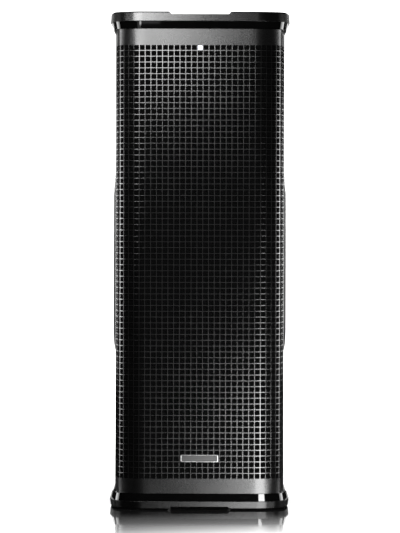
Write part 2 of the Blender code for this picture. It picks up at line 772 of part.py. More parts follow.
FLANGE_Y0, FLANGE_Y1 = PANEL_Y1 + GAP, 171.1
for name, x in (("input_jack", INPUT_X), ("link_jack", LINK_X)):
    jack = sheet(
        name,
        [box_loop(13.0, 15.5, 3.0, 3, (x, JACK_Z))],
        FLANGE_Y1 - FLANGE_Y0,
        SOCKET_PLASTIC,
        (0, (FLANGE_Y0 + FLANGE_Y1) / 2, 0),
        FRONT,
    )
    carve(jack, drum(name + "_barrel", 11.7, 27.0, None, (x, 156.5, JACK_Z), FRONT, True, 16), "UNION")
    if name == "input_jack":
        carve(jack, drum("input_mouth", 9.6, 12.0, None, (x, 175.0, JACK_Z), FRONT, True, 16))
        carve(jack, drum("input_bore", 4.8, 40.0, None, (x, 168.0, JACK_Z), FRONT, True, 16))
        carve(jack, block("latch_slot", (8.8, 8.0, 4.6), None, (x, 168.3 + 4.0, JACK_Z + 12.4), cutter=True))
    else:
        carve(jack, drum("link_mouth", 9.6, 30.0, None, (x, 171.0, JACK_Z), FRONT, True, 16))
        for k in range(3):
            a = math.radians(90 + 120 * k)
            pin = drum(
                "link_pin_%d" % k,
                1.3,
                13.0,
                None,
                (x + 5.8 * math.cos(a), 161.5, JACK_Z + 5.8 * math.sin(a)),
                FRONT,
                True,
                8,
            )
            carve(jack, pin, "UNION")
block("jack_latch", (8.2, 2.0, 4.0), KNOB_PLASTIC, (INPUT_X, 171.1, JACK_Z + 12.4), bevel=0.4)

for name, x in (("level_knob", LEVEL_X), ("tone_knob", TONE_X)):
    knob = turned(
        name,
        [(0, 15.0), (7.6, 15.0), (8.6, 14.0), (9.4, 3.0), (11.0, 2.0), (11.0, 0.0), (3.0, 0.0), (3.0, -7.0), (0, -7.0)],
        KNOB_PLASTIC,
        (x, 168.0, KNOB_Z),
        REAR,
        18,
    )
    carve(
        knob,
        block(name + "_pointer", (1.8, 2.0, 6.6), None, (x, 182.6, KNOB_Z + 4.0), cutter=True),
        "UNION",
    )
turned(
    "mode_button",
    [(0, 4.2), (4.0, 4.2), (5.0, 3.4), (5.0, -9.0), (0, -9.0)],
    KNOB_PLASTIC,
    (BUTTON_X, 168.0, KNOB_Z),
    REAR,
    14,
)

inlet = block("mains_inlet", (102.0, 2.6, 36.0), SOCKET_PLASTIC, (-3.0, PANEL_Y1 + GAP + 1.3, INLET_Z))
carve(inlet, block("inlet_body", (92.0, 28.0, 28.0), None, (-3.0, 155.0, INLET_Z), cutter=True), "UNION")
carve(inlet, block("inlet_socket", (25.0, 40.0, 17.0), None, (SOCKET_X, 173.2, INLET_Z), cutter=True))
carve(inlet, block("rocker_well", (13.6, 40.0, 22.4), None, (ROCKER_X, 178.2, INLET_Z), cutter=True))
carve(
    inlet,
    blocks(
        "inlet_pins",
        [
            ((2.0, 12.4, 5.0), (SOCKET_X - 7.0, 158.8, INLET_Z - 2.0)),
            ((2.0, 12.4, 5.0), (SOCKET_X + 7.0, 158.8, INLET_Z - 2.0)),
            ((2.0, 12.4, 5.0), (SOCKET_X, 158.8, INLET_Z + 2.5)),
        ],
    ),
    "UNION",
)
rocker_side = [(-7.0, -5.0), (7.0, -5.0), (9.6, 3.0), (9.6, 5.2), (0.0, 3.4), (-9.6, 5.2), (-9.6, 3.0)]
ct, st = math.cos(ROCKER_TILT), math.sin(ROCKER_TILT)
tilted = [(z * ct - y * st, z * st + y * ct) for z, y in rocker_side]
rocker = loft("power_rocker", [[(x, y, z) for z, y in tilted] for x in (-6.2, 6.2)], KNOB_PLASTIC)
rocker.location = Vector((ROCKER_X, ROCKER_PIVOT_Y, INLET_Z)) * MM

for sx, across in ((1, "left"), (-1, "right")):
    for sz, level in ((1, "upper"), (-1, "lower")):
        turned(
            "panel_screw_" + level + "_" + across,
            [(0, 2.2), (2.6, 2.0), (4.0, 0.6), (4.0, 0.0), (1.8, 0.0), (1.8, -9.0), (0, -9.0)],
            SCREW_STEEL,
            (sx * SCREW_X, PANEL_Y1 + GAP, PANEL_Z + sz * SCREW_Z),
            REAR,
            8,
        )
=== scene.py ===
import json
import math

import bmesh
import bpy
from mathutils import Matrix, Vector, noise
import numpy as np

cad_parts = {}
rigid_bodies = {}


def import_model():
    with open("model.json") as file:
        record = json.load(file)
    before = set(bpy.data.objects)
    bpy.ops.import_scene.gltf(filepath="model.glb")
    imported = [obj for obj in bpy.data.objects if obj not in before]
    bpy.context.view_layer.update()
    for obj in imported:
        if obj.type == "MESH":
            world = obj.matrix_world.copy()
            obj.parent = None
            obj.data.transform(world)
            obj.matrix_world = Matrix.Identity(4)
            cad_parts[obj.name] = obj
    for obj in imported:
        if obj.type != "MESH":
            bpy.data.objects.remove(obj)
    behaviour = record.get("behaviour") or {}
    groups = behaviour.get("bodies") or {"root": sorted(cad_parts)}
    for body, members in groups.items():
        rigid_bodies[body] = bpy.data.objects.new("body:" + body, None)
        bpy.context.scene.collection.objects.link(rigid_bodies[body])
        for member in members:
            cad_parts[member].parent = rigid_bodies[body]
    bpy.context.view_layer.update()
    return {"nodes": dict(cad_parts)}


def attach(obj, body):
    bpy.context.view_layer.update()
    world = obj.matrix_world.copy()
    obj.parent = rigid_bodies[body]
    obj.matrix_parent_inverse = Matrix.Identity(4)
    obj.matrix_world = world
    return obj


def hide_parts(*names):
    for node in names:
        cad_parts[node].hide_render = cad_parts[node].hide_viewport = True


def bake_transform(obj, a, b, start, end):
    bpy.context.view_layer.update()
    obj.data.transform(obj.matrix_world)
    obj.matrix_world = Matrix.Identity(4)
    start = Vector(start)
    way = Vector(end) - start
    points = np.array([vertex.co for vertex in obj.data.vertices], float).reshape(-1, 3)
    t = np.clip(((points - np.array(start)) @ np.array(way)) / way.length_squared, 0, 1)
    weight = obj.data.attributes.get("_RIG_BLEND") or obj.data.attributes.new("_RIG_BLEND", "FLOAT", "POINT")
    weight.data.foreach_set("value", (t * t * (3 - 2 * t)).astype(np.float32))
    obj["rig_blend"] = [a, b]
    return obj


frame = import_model()
NODES = frame["nodes"]
MM = 0.001

# =====================================================================================
# Finishes
# =====================================================================================


class Tree:
    """Small wrapper that adds and links shader nodes."""

    def __init__(self, name):
        self.material = bpy.data.materials.new(name)
        self.material.use_nodes = True
        self.tree = self.material.node_tree
        self.shader = self.tree.nodes["Principled BSDF"]
        coords = self.tree.nodes.new("ShaderNodeTexCoord")
        self.place = coords.outputs["Object"]

    def add(self, kind, **values):
        node = self.tree.nodes.new(kind)
        for key, value in values.items():
            setattr(node, key, value)
        return node

    def link(self, out, into):
        self.tree.links.new(out, into)

    def stretch(self, scale):
        node = self.add("ShaderNodeMapping")
        node.inputs["Scale"].default_value = scale
        self.link(self.place, node.inputs["Vector"])
        return node.outputs["Vector"]

    def noise(self, scale, detail=3.0, rough=0.55, vector=None):
        node = self.add("ShaderNodeTexNoise")
        node.inputs["Scale"].default_value = scale
        node.inputs["Detail"].default_value = detail
        node.inputs["Roughness"].default_value = rough
        self.link(vector or self.place, node.inputs["Vector"])
        return node.outputs["Fac"]

    def cells(self, scale, vector=None, feature="F1"):
        node = self.add("ShaderNodeTexVoronoi", feature=feature)
        node.inputs["Scale"].default_value = scale
        self.link(vector or self.place, node.inputs["Vector"])
        return node.outputs["Distance"]

    def math(self, how, a, b):
        node = self.add("ShaderNodeMath", operation=how)
        for socket, value in zip(node.inputs, (a, b)):
            if isinstance(value, (int, float)):
                socket.default_value = value
            else:
                self.link(value, socket)
        return node.outputs[0]

    def ramp(self, fac, stops):
        node = self.add("ShaderNodeValToRGB")
        ramp = node.color_ramp
        while len(ramp.elements) < len(stops):
            ramp.elements.new(0.5)
        for element, (where, colour) in zip(ramp.elements, stops):
            element.position = where
            element.color = (*colour, 1)
        self.link(fac, node.inputs["Fac"])
        return node.outputs["Color"]

    def remap(self, fac, low, high, start=0.3, stop=0.7):
        node = self.add("ShaderNodeMapRange")
        node.inputs["From Min"].default_value = start
        node.inputs["From Max"].default_value = stop
        node.inputs["To Min"].default_value = low
        node.inputs["To Max"].default_value = high
        self.link(fac, node.inputs["Value"])
        return node.outputs["Result"]

    def bump(self, height, distance, strength=1.0, over=None):
        node = self.add("ShaderNodeBump")
        node.inputs["Distance"].default_value = distance
        node.inputs["Strength"].default_value = strength
        self.link(height, node.inputs["Height"])
        if over is not None:
            self.link(over, node.inputs["Normal"])
        return node.outputs["Normal"]


def grey(value, tint=(1.0, 1.0, 1.0)):
    return tuple(value * t for t in tint)


def coated(name, dark, light, grain, rough, bump, metal=0.0, spec=0.5, coat=0.0, broad=22.0, tint=(1, 1, 1), band=None):
    """Paint, powder coat or moulded plastic: fine grain, broad mottling, uneven gloss."""
    t = Tree(name)
    fine = t.noise(grain, 3.0)
    wide = t.noise(broad, 4.0)
    both = t.math("ADD", t.math("MULTIPLY", fine, 0.55), t.math("MULTIPLY", wide, 0.45))
    t.link(t.ramp(both, [(0.34, grey(dark, tint)), (0.66, grey(light, tint))]), t.shader.inputs["Base Color"])
    t.link(t.remap(both, rough[0], rough[1]), t.shader.inputs["Roughness"])
    scale, height = bump
    t.link(t.bump(t.noise(scale, 2.0), height), t.shader.inputs["Normal"])
    t.shader.inputs["Metallic"].default_value = metal
    t.shader.inputs["Specular IOR Level"].default_value = spec
    if band:
        low, high, more, smoother = band
        split = t.add("ShaderNodeSeparateXYZ")
        t.link(t.place, split.inputs["Vector"])
        height = split.outputs["Z"]
        inside = t.math("MULTIPLY", t.math("GREATER_THAN", height, low), t.math("LESS_THAN", height, high))
        t.link(t.math("ADD", t.math("MULTIPLY", inside, more), spec), t.shader.inputs["Specular IOR Level"])
        polish = t.math("SUBTRACT", 1.0, t.math("MULTIPLY", inside, smoother))
        t.link(t.math("MULTIPLY", t.remap(both, rough[0], rough[1]), polish), t.shader.inputs["Roughness"])
    t.shader.inputs["Coat Weight"].default_value = coat
    t.shader.inputs["Coat Roughness"].default_value = 0.08
    return t.material


def brushed(name, dark, light, rough, along=(4, 400, 400), tint=(1, 1, 1), metal=1.0):
    """Metal with a drawn or brushed grain."""
    t = Tree(name)
    lines = t.noise(1.0, 4.0, 0.65, t.stretch(along))
    wide = t.noise(30.0, 3.0)
    both = t.math("ADD", t.math("MULTIPLY", lines, 0.7), t.math("MULTIPLY", wide, 0.3))
    t.link(t.ramp(both, [(0.3, grey(dark, tint)), (0.7, grey(light, tint))]), t.shader.inputs["Base Color"])
    t.link(t.remap(both, rough[0], rough[1]), t.shader.inputs["Roughness"])
    t.link(t.bump(lines, 0.00002), t.shader.inputs["Normal"])
    t.shader.inputs["Metallic"].default_value = metal
    return t.material


POWDER = coated("powder_coat", 0.0005, 0.0012, 620, (0.25, 0.31), (380, 0.00010), spec=0.5, band=(0.0652, 0.9754, 0.27, 0.1))
PUNCHED = coated("punched_edge", 0.0004, 0.0009, 620, (0.60, 0.75), (380, 0.00008), spec=0.08)
CAP = coated("cap_plastic", 0.0005, 0.0012, 900, (0.25, 0.30), (520, 0.00007))
CAP_TOP = coated("cap_top_grain", 0.006, 0.012, 700, (0.62, 0.75), (420, 0.00012), spec=0.06)
GLOSS = coated("gloss_trim", 0.0004, 0.0009, 240, (0.02, 0.05), (60, 0.000004), spec=0.5, coat=0.3)
CABINET = coated("cabinet_paint", 0.009, 0.020, 480, (0.48, 0.62), (430, 0.00028))
HANDLE = coated("handle_plastic", 0.012, 0.021, 1100, (0.30, 0.42), (1000, 0.00005))
RUBBER = coated("soft_rubber", 0.010, 0.020, 1400, (0.70, 0.85), (1200, 0.00008), spec=0.3)
SOCKET = coated("socket_plastic", 0.010, 0.018, 1300, (0.28, 0.38), (1200, 0.00003))
KNOB = coated("knob_plastic", 0.020, 0.032, 1500, (0.42, 0.52), (1400, 0.00003))
PANEL = coated("panel_paint", 0.012, 0.021, 1200, (0.42, 0.52), (1100, 0.00005), metal=0.0)
SINK = brushed("sink_metal", 0.020, 0.050, (0.34, 0.46), (400, 400, 6), metal=0.9)
CHROME = brushed("bright_steel", 0.42, 0.62, (0.22, 0.34), (300, 300, 300))
SCREW = brushed("screw_steel", 0.05, 0.10, (0.28, 0.40), (500, 500, 500))
BRASS = brushed("contact_brass", 0.45, 0.62, (0.25, 0.36), (300, 300, 300), tint=(1.0, 0.78, 0.42))
PRINT = coated("panel_print", 0.40, 0.52, 1600, (0.5, 0.6), (1500, 0.00001))
HORN = coated("horn_plastic", 0.014, 0.024, 800, (0.40, 0.50), (800, 0.00005))
BOARD = coated("inner_board", 0.012, 0.026, 300, (0.60, 0.75), (260, 0.0003))
CAST = coated("cast_frame", 0.030, 0.060, 500, (0.42, 0.55), (420, 0.0002), metal=0.5)
FERRITE = coated("ferrite", 0.030, 0.060, 700, (0.6, 0.75), (500, 0.0001))
PAPER = coated("paper_cone", 0.018, 0.035, 420, (0.80, 0.92), (380, 0.0002), spec=0.2)
PCB = coated("circuit_board", 0.08, 0.14, 700, (0.38, 0.5), (600, 0.00004), tint=(0.2, 1.0, 0.4))
COPPER = brushed("coil_copper", 0.40, 0.62, (0.3, 0.4), (200, 2500, 200), tint=(1.0, 0.5, 0.25))
SPIDER = coated("spider_cloth", 0.30, 0.48, 900, (0.85, 0.95), (900, 0.0002), spec=0.2, tint=(1.0, 0.65, 0.25))
BADGE = brushed("badge_metal", 0.34, 0.62, (0.26, 0.38), (6, 500, 500))
BADGE_FIELD = coated("badge_field", 0.012, 0.022, 1300, (0.34, 0.42), (1200, 0.00004))


def foam_finish():
    t = Tree("open_cell_foam")
    pores = t.cells(900)
    loose = t.noise(260, 3.0)
    t.link(t.ramp(pores, [(0.1, grey(0.0003)), (0.7, grey(0.0011))]), t.shader.inputs["Base Color"])
    t.link(t.remap(loose, 0.50, 0.62), t.shader.inputs["Roughness"])
    t.link(t.bump(t.math("ADD", pores, loose), 0.0006), t.shader.inputs["Normal"])
    t.shader.inputs["Specular IOR Level"].default_value = 0.012
    return t.material


def lamp_finish():
    t = Tree("power_light")
    core = t.noise(300, 2.0)
    t.link(t.ramp(core, [(0.2, (0.72, 0.80, 1.0)), (0.8, (0.92, 0.95, 1.0))]), t.shader.inputs["Base Color"])
    t.link(t.ramp(core, [(0.2, (0.80, 0.85, 1.0)), (0.8, (0.95, 0.97, 1.0))]), t.shader.inputs["Emission Color"])
    t.link(t.remap(core, 0.18, 0.32), t.shader.inputs["Roughness"])
    t.shader.inputs["Emission Strength"].default_value = 1.6
    return t.material


FOAM = foam_finish()
LAMP = lamp_finish()

# =====================================================================================
# Geometry helpers
# =====================================================================================


def fillet(corners):
    """Closed loop from (x, y, radius, segments) corners given anticlockwise."""
    points = []
    count = len(corners)
    for i, (x, y, radius, segments) in enumerate(corners):
        here = Vector((x, y))
        before = (Vector(corners[i - 1][:2]) - here).normalized()
        after = (Vector(corners[(i + 1) % count][:2]) - here).normalized()
        if radius <= 0 or segments == 0:
            points.append((x, y))
            continue
        half = before.angle(after) / 2
        reach = radius / math.tan(half)
        centre = here + (before + after).normalized() * (radius / math.sin(half))
        start = here + before * reach - centre
        turn = math.pi - 2 * half
        for k in range(segments + 1):
            a = turn * k / segments
            c, s = math.cos(a), math.sin(a)
            points.append((centre.x + c * start.x - s * start.y, centre.y + s * start.x + c * start.y))
    return points


def grow(corners, by):
    """Move every side of an anticlockwise convex outline outward."""
    moved = []
    count = len(corners)
    for i, (x, y, radius, segments) in enumerate(corners):
        here = Vector((x, y))
        into = (here - Vector(corners[i - 1][:2])).normalized()
        out = (Vector(corners[(i + 1) % count][:2]) - here).normalized()
        n1 = Vector((into.y, -into.x))
        n2 = Vector((out.y, -out.x))
        spot = here + (n1 + n2) * (by / (1 + n1.dot(n2)))
        moved.append((spot.x, spot.y, max(radius + by, 0.5) if radius > 0 else 0, segments))
    return moved


def both_sides(half):
    return half + [(-x, y, r, s) for x, y, r, s in reversed(half)]


def box_loop(half_x, half_y, radius, segments=6, at=(0, 0)):
    return fillet(
        [
            (at[0] + half_x, at[1] - half_y, radius, segments),
            (at[0] + half_x, at[1] + half_y, radius, segments),
            (at[0] - half_x, at[1] + half_y, radius, segments),
            (at[0] - half_x, at[1] - half_y, radius, segments),
        ]
    )


def ring_loop(radius, at=(0, 0), count=48):
    return [
        (at[0] + radius * math.cos(2 * math.pi * k / count), at[1] + radius * math.sin(2 * math.pi * k / count))
        for k in range(count)
    ]


def skin(bm, sections, cap_first=True, cap_last=True, closed=False):
    """Faces between loops of 3-D points; closed joins the last loop to the first."""
    rings = [[bm.verts.new(Vector(p) * MM) for p in section] for section in sections]
    count = len(rings[0])
    pairs = list(zip(rings, rings[1:]))
    if closed:
        pairs.append((rings[-1], rings[0]))
    for low, high in pairs:
        for i in range(count):
            bm.faces.new((low[i], low[(i + 1) % count], high[(i + 1) % count], high[i]))
    if not closed:
        if cap_first:
            bm.faces.new(list(reversed(rings[0])))
        if cap_last:
            bm.faces.new(rings[-1])
    return rings


def lathe(bm, profile, centre, axis="Y", steps=64, flutes=None):
    """Turned shape. profile is (radius, height) pairs; the shape closes on the axis or on itself."""
    cx, cy, cz = centre
    rows = []
    for radius, height in profile:
        row = []
        if radius <= 1e-6:
            point = (cx, cy + height, cz) if axis == "Y" else (cx, cy, cz + height)
            row = [bm.verts.new(Vector(point) * MM)]
        else:
            for k in range(steps):
                a = 2 * math.pi * k / steps
                r = radius * flutes(a, height, radius) if flutes else radius
                c, s = r * math.cos(a), r * math.sin(a)
                point = (cx + c, cy + height, cz + s) if axis == "Y" else (cx + c, cy + s, cz + height)
                row.append(bm.verts.new(Vector(point) * MM))
        rows.append(row)
    pairs = list(zip(rows, rows[1:]))
    if profile[0][0] > 1e-6 and profile[-1][0] > 1e-6:
        pairs.append((rows[-1], rows[0]))
    for low, high in pairs:
        for i in range(steps):
            j = (i + 1) % steps
            if len(low) == 1 and len(high) == 1:
                continue
            if len(low) == 1:
                bm.faces.new((low[0], high[j], high[i]))
            elif len(high) == 1:
                bm.faces.new((low[i], low[j], high[0]))
            else:
                bm.faces.new((low[i], low[j], high[j], high[i]))


def slab(bm, loop, low, high, plane="XZ"):
    """Flat outline given thickness. XZ stands up with its thickness along Y, XY lies down."""
    def lift(p, h):
        return (p[0], h, p[1]) if plane == "XZ" else (p[0], p[1], h)

    skin(bm, [[lift(p, low) for p in loop], [lift(p, high) for p in loop]])


def round_box(bm, size, centre, radius=0.4, segments=2):
    made = bmesh.ops.create_cube(
        bm,
        size=1.0,
        matrix=Matrix.Translation(Vector(centre) * MM) @ Matrix.Diagonal((size[0] * MM, size[1] * MM, size[2] * MM, 1)),
    )
    if radius:
        edges = list({e for v in made["verts"] for e in v.link_edges})
        bmesh.ops.bevel(
            bm, geom=edges, offset=radius * MM, offset_type="OFFSET", segments=segments, profile=0.5, affect="EDGES"
        )


def soften(bm, width, segments=2, above=30.0):
    """Round every edge sharper than the given angle."""
    bmesh.ops.recalc_face_normals(bm, faces=bm.faces)
    bm.normal_update()
    edges = [e for e in bm.edges if len(e.link_faces) == 2 and e.calc_face_angle(0) > math.radians(above)]
    bmesh.ops.bevel(
        bm,
        geom=edges,
        offset=width * MM,
        offset_type="OFFSET",
        segments=segments,
        profile=0.5,
        affect="EDGES",
        clamp_overlap=True,
    )


def solid(name, bm):
    """A loose object for use as a Boolean tool or blank."""
    bmesh.ops.recalc_face_normals(bm, faces=bm.faces)
    mesh = bpy.data.meshes.new(name)
    bm.to_mesh(mesh)
    bm.free()
    obj = bpy.data.objects.new(name, mesh)
    bpy.context.scene.collection.objects.link(obj)
    return obj


def carved(blank_bm, tool_bms, how="DIFFERENCE"):
    """Cut tools from a blank and return the result as a bmesh."""
    blank = solid("blank", blank_bm)
    tools = []
    for tool_bm in tool_bms:
        tool = solid("tool", tool_bm)
        tools.append(tool)
        mod = blank.modifiers.new("cut", "BOOLEAN")
        mod.operation = how
        mod.solver = "EXACT"
        mod.object = tool
    graph = bpy.context.evaluated_depsgraph_get()
    mesh = bpy.data.meshes.new_from_object(blank.evaluated_get(graph))
    out = bmesh.new()
    out.from_mesh(mesh)
    for extra in tools + [blank]:
        old = extra.data
        bpy.data.objects.remove(extra, do_unlink=True)
        bpy.data.meshes.remove(old)
    bpy.data.meshes.remove(mesh)
    bmesh.ops.remove_doubles(out, verts=out.verts, dist=1e-7)
    return out


def piece(name, bm, materials, body="cabinet", node=None, sharp=36.0, weighted=False, tidy=True):
    if tidy:
        bmesh.ops.recalc_face_normals(bm, faces=bm.faces)
    mesh = bpy.data.meshes.new(name)
    bm.to_mesh(mesh)
    bm.free()
    for material in materials if isinstance(materials, (list, tuple)) else [materials]:
        mesh.materials.append(material)
    mesh.shade_smooth()
    mesh.set_sharp_from_angle(angle=math.radians(sharp))
    obj = bpy.data.objects.new(name, mesh)
    bpy.context.scene.collection.objects.link(obj)
    if weighted:
        mod = obj.modifiers.new("even_shade", "WEIGHTED_NORMAL")
        mod.keep_sharp = True
        mod.weight = 60
    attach(obj, body)
    if node:
        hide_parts(node)
    return obj


def paint(bm, index, since):
    """Give every face made after the given count a material index."""
    bm.faces.ensure_lookup_table()
    for face in list(bm.faces)[since:]:
        face.material_index = index


# =====================================================================================
# Plans and heights
# =====================================================================================
FRONT_Y, HALF_W, FLAT_X, BEND_R, CORNER_R = -175.0, 178.9, 130.0, 44.0, 38.0
WING_X, WING_Y = 170.3, -155.8
GRILLE_END_Y, GRILLE_T = -80.0, 1.5
CAP_HALF_W, CAP_HALF_D = 190.0, 185.0
BODY_0, BODY_1 = 33.9, 1009.4
HOLE_PITCH, HOLE, HOLE_R, ROWS_MID_Z = 12.152, 10.6, 0.8, 520.3
LIGHT_Z = ROWS_MID_Z + 37 * HOLE_PITCH
CHANNEL_D, CHANNEL_MOUTH, CHANNEL_FLOOR = 5.4, 65.0, 60.0

CAP_PLAN = both_sides(
    [
        (CHANNEL_FLOOR, -CAP_HALF_D, 0, 0),
        (CHANNEL_MOUTH, -CAP_HALF_D, 0, 0),
        (132.3, -CAP_HALF_D, 54.0, 16),
        (180.7, -161.9, 49.0, 24),
        (CAP_HALF_W, GRILLE_END_Y, 70.0, 4),
        (CAP_HALF_W, 97.0, 45.0, 10),
        (140.0, CAP_HALF_D, 30.0, 12),
        (CHANNEL_MOUTH, CAP_HALF_D, 0, 0),
        (CHANNEL_FLOOR, CAP_HALF_D, 0, 0),
    ]
)
PHI = math.atan2(WING_Y - FRONT_Y, WING_X - FLAT_X)
PSI = math.atan2(GRILLE_END_Y - WING_Y, HALF_W - WING_X)
REACH_1 = BEND_R * math.tan(PHI / 2)
REACH_2 = CORNER_R * math.tan((PSI - PHI) / 2)
RUN_FLAT = FLAT_X - REACH_1
RUN_BEND = BEND_R * PHI
RUN_FACET = math.hypot(WING_X - FLAT_X, WING_Y - FRONT_Y) - REACH_1 - REACH_2
RUN_CORNER = CORNER_R * (PSI - PHI)
RUN_SIDE = math.hypot(HALF_W - WING_X, GRILLE_END_Y - WING_Y) - REACH_2
RUN_ALL = RUN_FLAT + RUN_BEND + RUN_FACET + RUN_CORNER + RUN_SIDE


def wrap(u, z, by=0.0):
    """Point on the bent front, u measured along the sheet from its centre line."""
    s = abs(u)
    if s <= RUN_FLAT:
        x, y, nx, ny = s, FRONT_Y, 0.0, -1.0
    elif s <= RUN_FLAT + RUN_BEND:
        a = (s - RUN_FLAT) / BEND_R
        nx, ny = math.sin(a), -math.cos(a)
        x, y = RUN_FLAT + BEND_R * nx, FRONT_Y + BEND_R + BEND_R * ny
    else:
        nx, ny = math.sin(PHI), -math.cos(PHI)
        x, y = RUN_FLAT + BEND_R * nx, FRONT_Y + BEND_R + BEND_R * ny
        d = min(s - RUN_FLAT - RUN_BEND, RUN_FACET)
        x, y = x + d * math.cos(PHI), y + d * math.sin(PHI)
        rest = s - RUN_FLAT - RUN_BEND - RUN_FACET
        if rest > 0:
            a = PHI + min(rest, RUN_CORNER) / CORNER_R
            cx, cy = x - CORNER_R * nx, y - CORNER_R * ny
            nx, ny = math.sin(a), -math.cos(a)
            x, y = cx + CORNER_R * nx, cy + CORNER_R * ny
            past = max(rest - RUN_CORNER, 0.0)
            x, y = x + past * math.cos(PSI), y + past * math.sin(PSI)
    side = -1.0 if u < 0 else 1.0
    return Vector((side * (x + by * nx), y + by * ny, z)) * MM


def walls(front, thickness, name, edge_index=0):
    """Turn a list of front faces, each a list of (u, z) points, into a closed sheet of that thickness."""
    keys = {}
    order = []

    def number(point):
        key = (round(point[0], 3), round(point[1], 3))
        if key not in keys:
            keys[key] = len(order)
            order.append(point)
        return keys[key]

    faces = [[number(p) for p in face] for face in front]
    count = len(order)
    coords = [wrap(u, z, thickness[0]) for u, z in order] + [wrap(u, z, thickness[1]) for u, z in order]
    used = {}
    for face in faces:
        for a, b in zip(face, face[1:] + face[:1]):
            used[(a, b)] = True
    out = list(faces)
    out += [[i + count for i in reversed(face)] for face in faces]
    for a, b in used:
        if (b, a) not in used:
            out.append([b, a, a + count, b + count])
    mesh = bpy.data.meshes.new(name)
    mesh.from_pydata(coords, [], out)
    flat = 2 * len(faces)
    mesh.polygons.foreach_set("material_index", [0] * flat + [edge_index] * (len(out) - flat))
    mesh.update()
    return mesh


def sheet_piece(name, mesh, materials, node, sharp=36.0):
    for material in materials:
        mesh.materials.append(material)
    mesh.shade_smooth()
    mesh.set_sharp_from_angle(angle=math.radians(sharp))
    obj = bpy.data.objects.new(name, mesh)
    bpy.context.scene.collection.objects.link(obj)
    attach(obj, "cabinet")
    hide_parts(node)
    return obj


# =====================================================================================
# Perforated grille and the foam behind it
# =====================================================================================
COLUMNS, ROWS = 19, 37


def punched(u_mid, z_mid):
    """Front faces of one cell of the perforation: a square hole with rounded corners."""
    h, p, r = HOLE / 2, HOLE_PITCH / 2, HOLE_R
    k = r * (1 - math.sqrt(0.5))
    a, b, c, d = (-p, -p), (p, -p), (p, p), (-p, p)
    bl = [(-h, -h + r), (-h + k, -h + k), (-h + r, -h)]
    br = [(h - r, -h), (h - k, -h + k), (h, -h + r)]
    tr = [(h, h - r), (h - k, h - k), (h - r, h)]
    tl = [(-h + r, h), (-h + k, h - k), (-h, h - r)]
    faces = [[a, b, br[0], bl[2]], [b, c, tr[0], br[2]], [c, d, tl[0], tr[2]], [d, a, bl[0], tl[2]]]
    for corner, arc in ((a, bl), (b, br), (c, tr), (d, tl)):
        faces += [[corner, arc[1], arc[0]], [corner, arc[2], arc[1]]]
    return [[(u_mid + u, z_mid + z) for u, z in face] for face in faces]


def perforated():
    front = []
    lines = [(k - 0.5) * HOLE_PITCH for k in range(-COLUMNS, COLUMNS + 2)]
    levels = [ROWS_MID_Z + (k - 0.5) * HOLE_PITCH for k in range(-ROWS, ROWS + 2)]
    for i in range(-COLUMNS, COLUMNS + 1):
        for j in range(-ROWS, ROWS + 1):
            front += punched(i * HOLE_PITCH, ROWS_MID_Z + j * HOLE_PITCH)
    us = [-RUN_ALL] + lines + [RUN_ALL]
    low, high = BODY_0 + 0.2, BODY_1 - 0.2
    for z0, z1 in ((low, levels[0]), (levels[-1], high)):
        for u0, u1 in zip(us, us[1:]):
            front.append([(u0, z0), (u1, z0), (u1, z1), (u0, z1)])
    for u0, u1 in ((us[0], us[1]), (us[-2], us[-1])):
        for z0, z1 in zip(levels, levels[1:]):
            front.append([(u0, z0), (u1, z0), (u1, z1), (u0, z1)])
    return walls(front, (0.0, -GRILLE_T), "front_grille_sheet", 1)


sheet_piece("front_grille_sheet", perforated(), [POWDER, PUNCHED], "front_grille")


def foam_sheet():
    """Open-cell foam backing with a way through it for the light pipe."""
    cuts = [-4.65, 4.65]
    us = sorted(set([round(-RUN_ALL + 1.0 + k * (2 * RUN_ALL - 2.0) / 62, 3) for k in range(63)] + cuts))
    zs = sorted(
        set([round(39.9 + k * (1003.4 - 39.9) / 120, 3) for k in range(121)] + [LIGHT_Z - 4.65, LIGHT_Z + 4.65])
    )
    us = [u for u in us if not (-4.65 < u < 4.65)]
    zs = [z for z in zs if not (LIGHT_Z - 4.65 < z < LIGHT_Z + 4.65)]
    front = []
    for u0, u1 in zip(us, us[1:]):
        for z0, z1 in zip(zs, zs[1:]):
            if abs(u0 + u1) < 0.1 and abs(z0 + z1 - 2 * LIGHT_Z) < 0.1:
                continue
            front.append([(u0, z0), (u1, z0), (u1, z1), (u0, z1)])
    mesh = walls(front, (-1.95, -6.9), "grille_foam_sheet")
    for vertex in mesh.vertices:
        p = vertex.co * 55.0
        push = (noise.noise(p) - 0.6) * 0.25 * MM
        outward = Vector((vertex.co.x, vertex.co.y - 0.02, 0)).normalized()
        vertex.co += outward * min(push, 0.0)
    return mesh


foam = sheet_piece("grille_foam_sheet", foam_sheet(), [FOAM], "grille_foam", 60.0)

# =====================================================================================
# End caps and gloss rings
# =====================================================================================


RIM_R, LEAN = 2.8, 1.22


def lean(height, tall):
    """Inset of the cap's straight face at a height above the joint."""
    return LEAN * (height - 0.45) / (tall - RIM_R - 0.45)


def cap_profile(tall):
    """(height from the joint, inset) pairs up the side and over the rounded rim."""
    run = [(0.0, 0.35), (0.2, 0.1), (0.45, 0.0)]
    run += [(h, lean(h, tall)) for h in (0.8, 1.4, tall * 0.4, tall - RIM_R - 0.8, tall - RIM_R - 0.3)]
    radius = RIM_R
    start, base = tall - radius, LEAN
    for k in range(8):
        a = math.pi / 2 * k / 7
        run.append((start + radius * math.sin(a), base + radius * (1 - math.cos(a))))
    return run


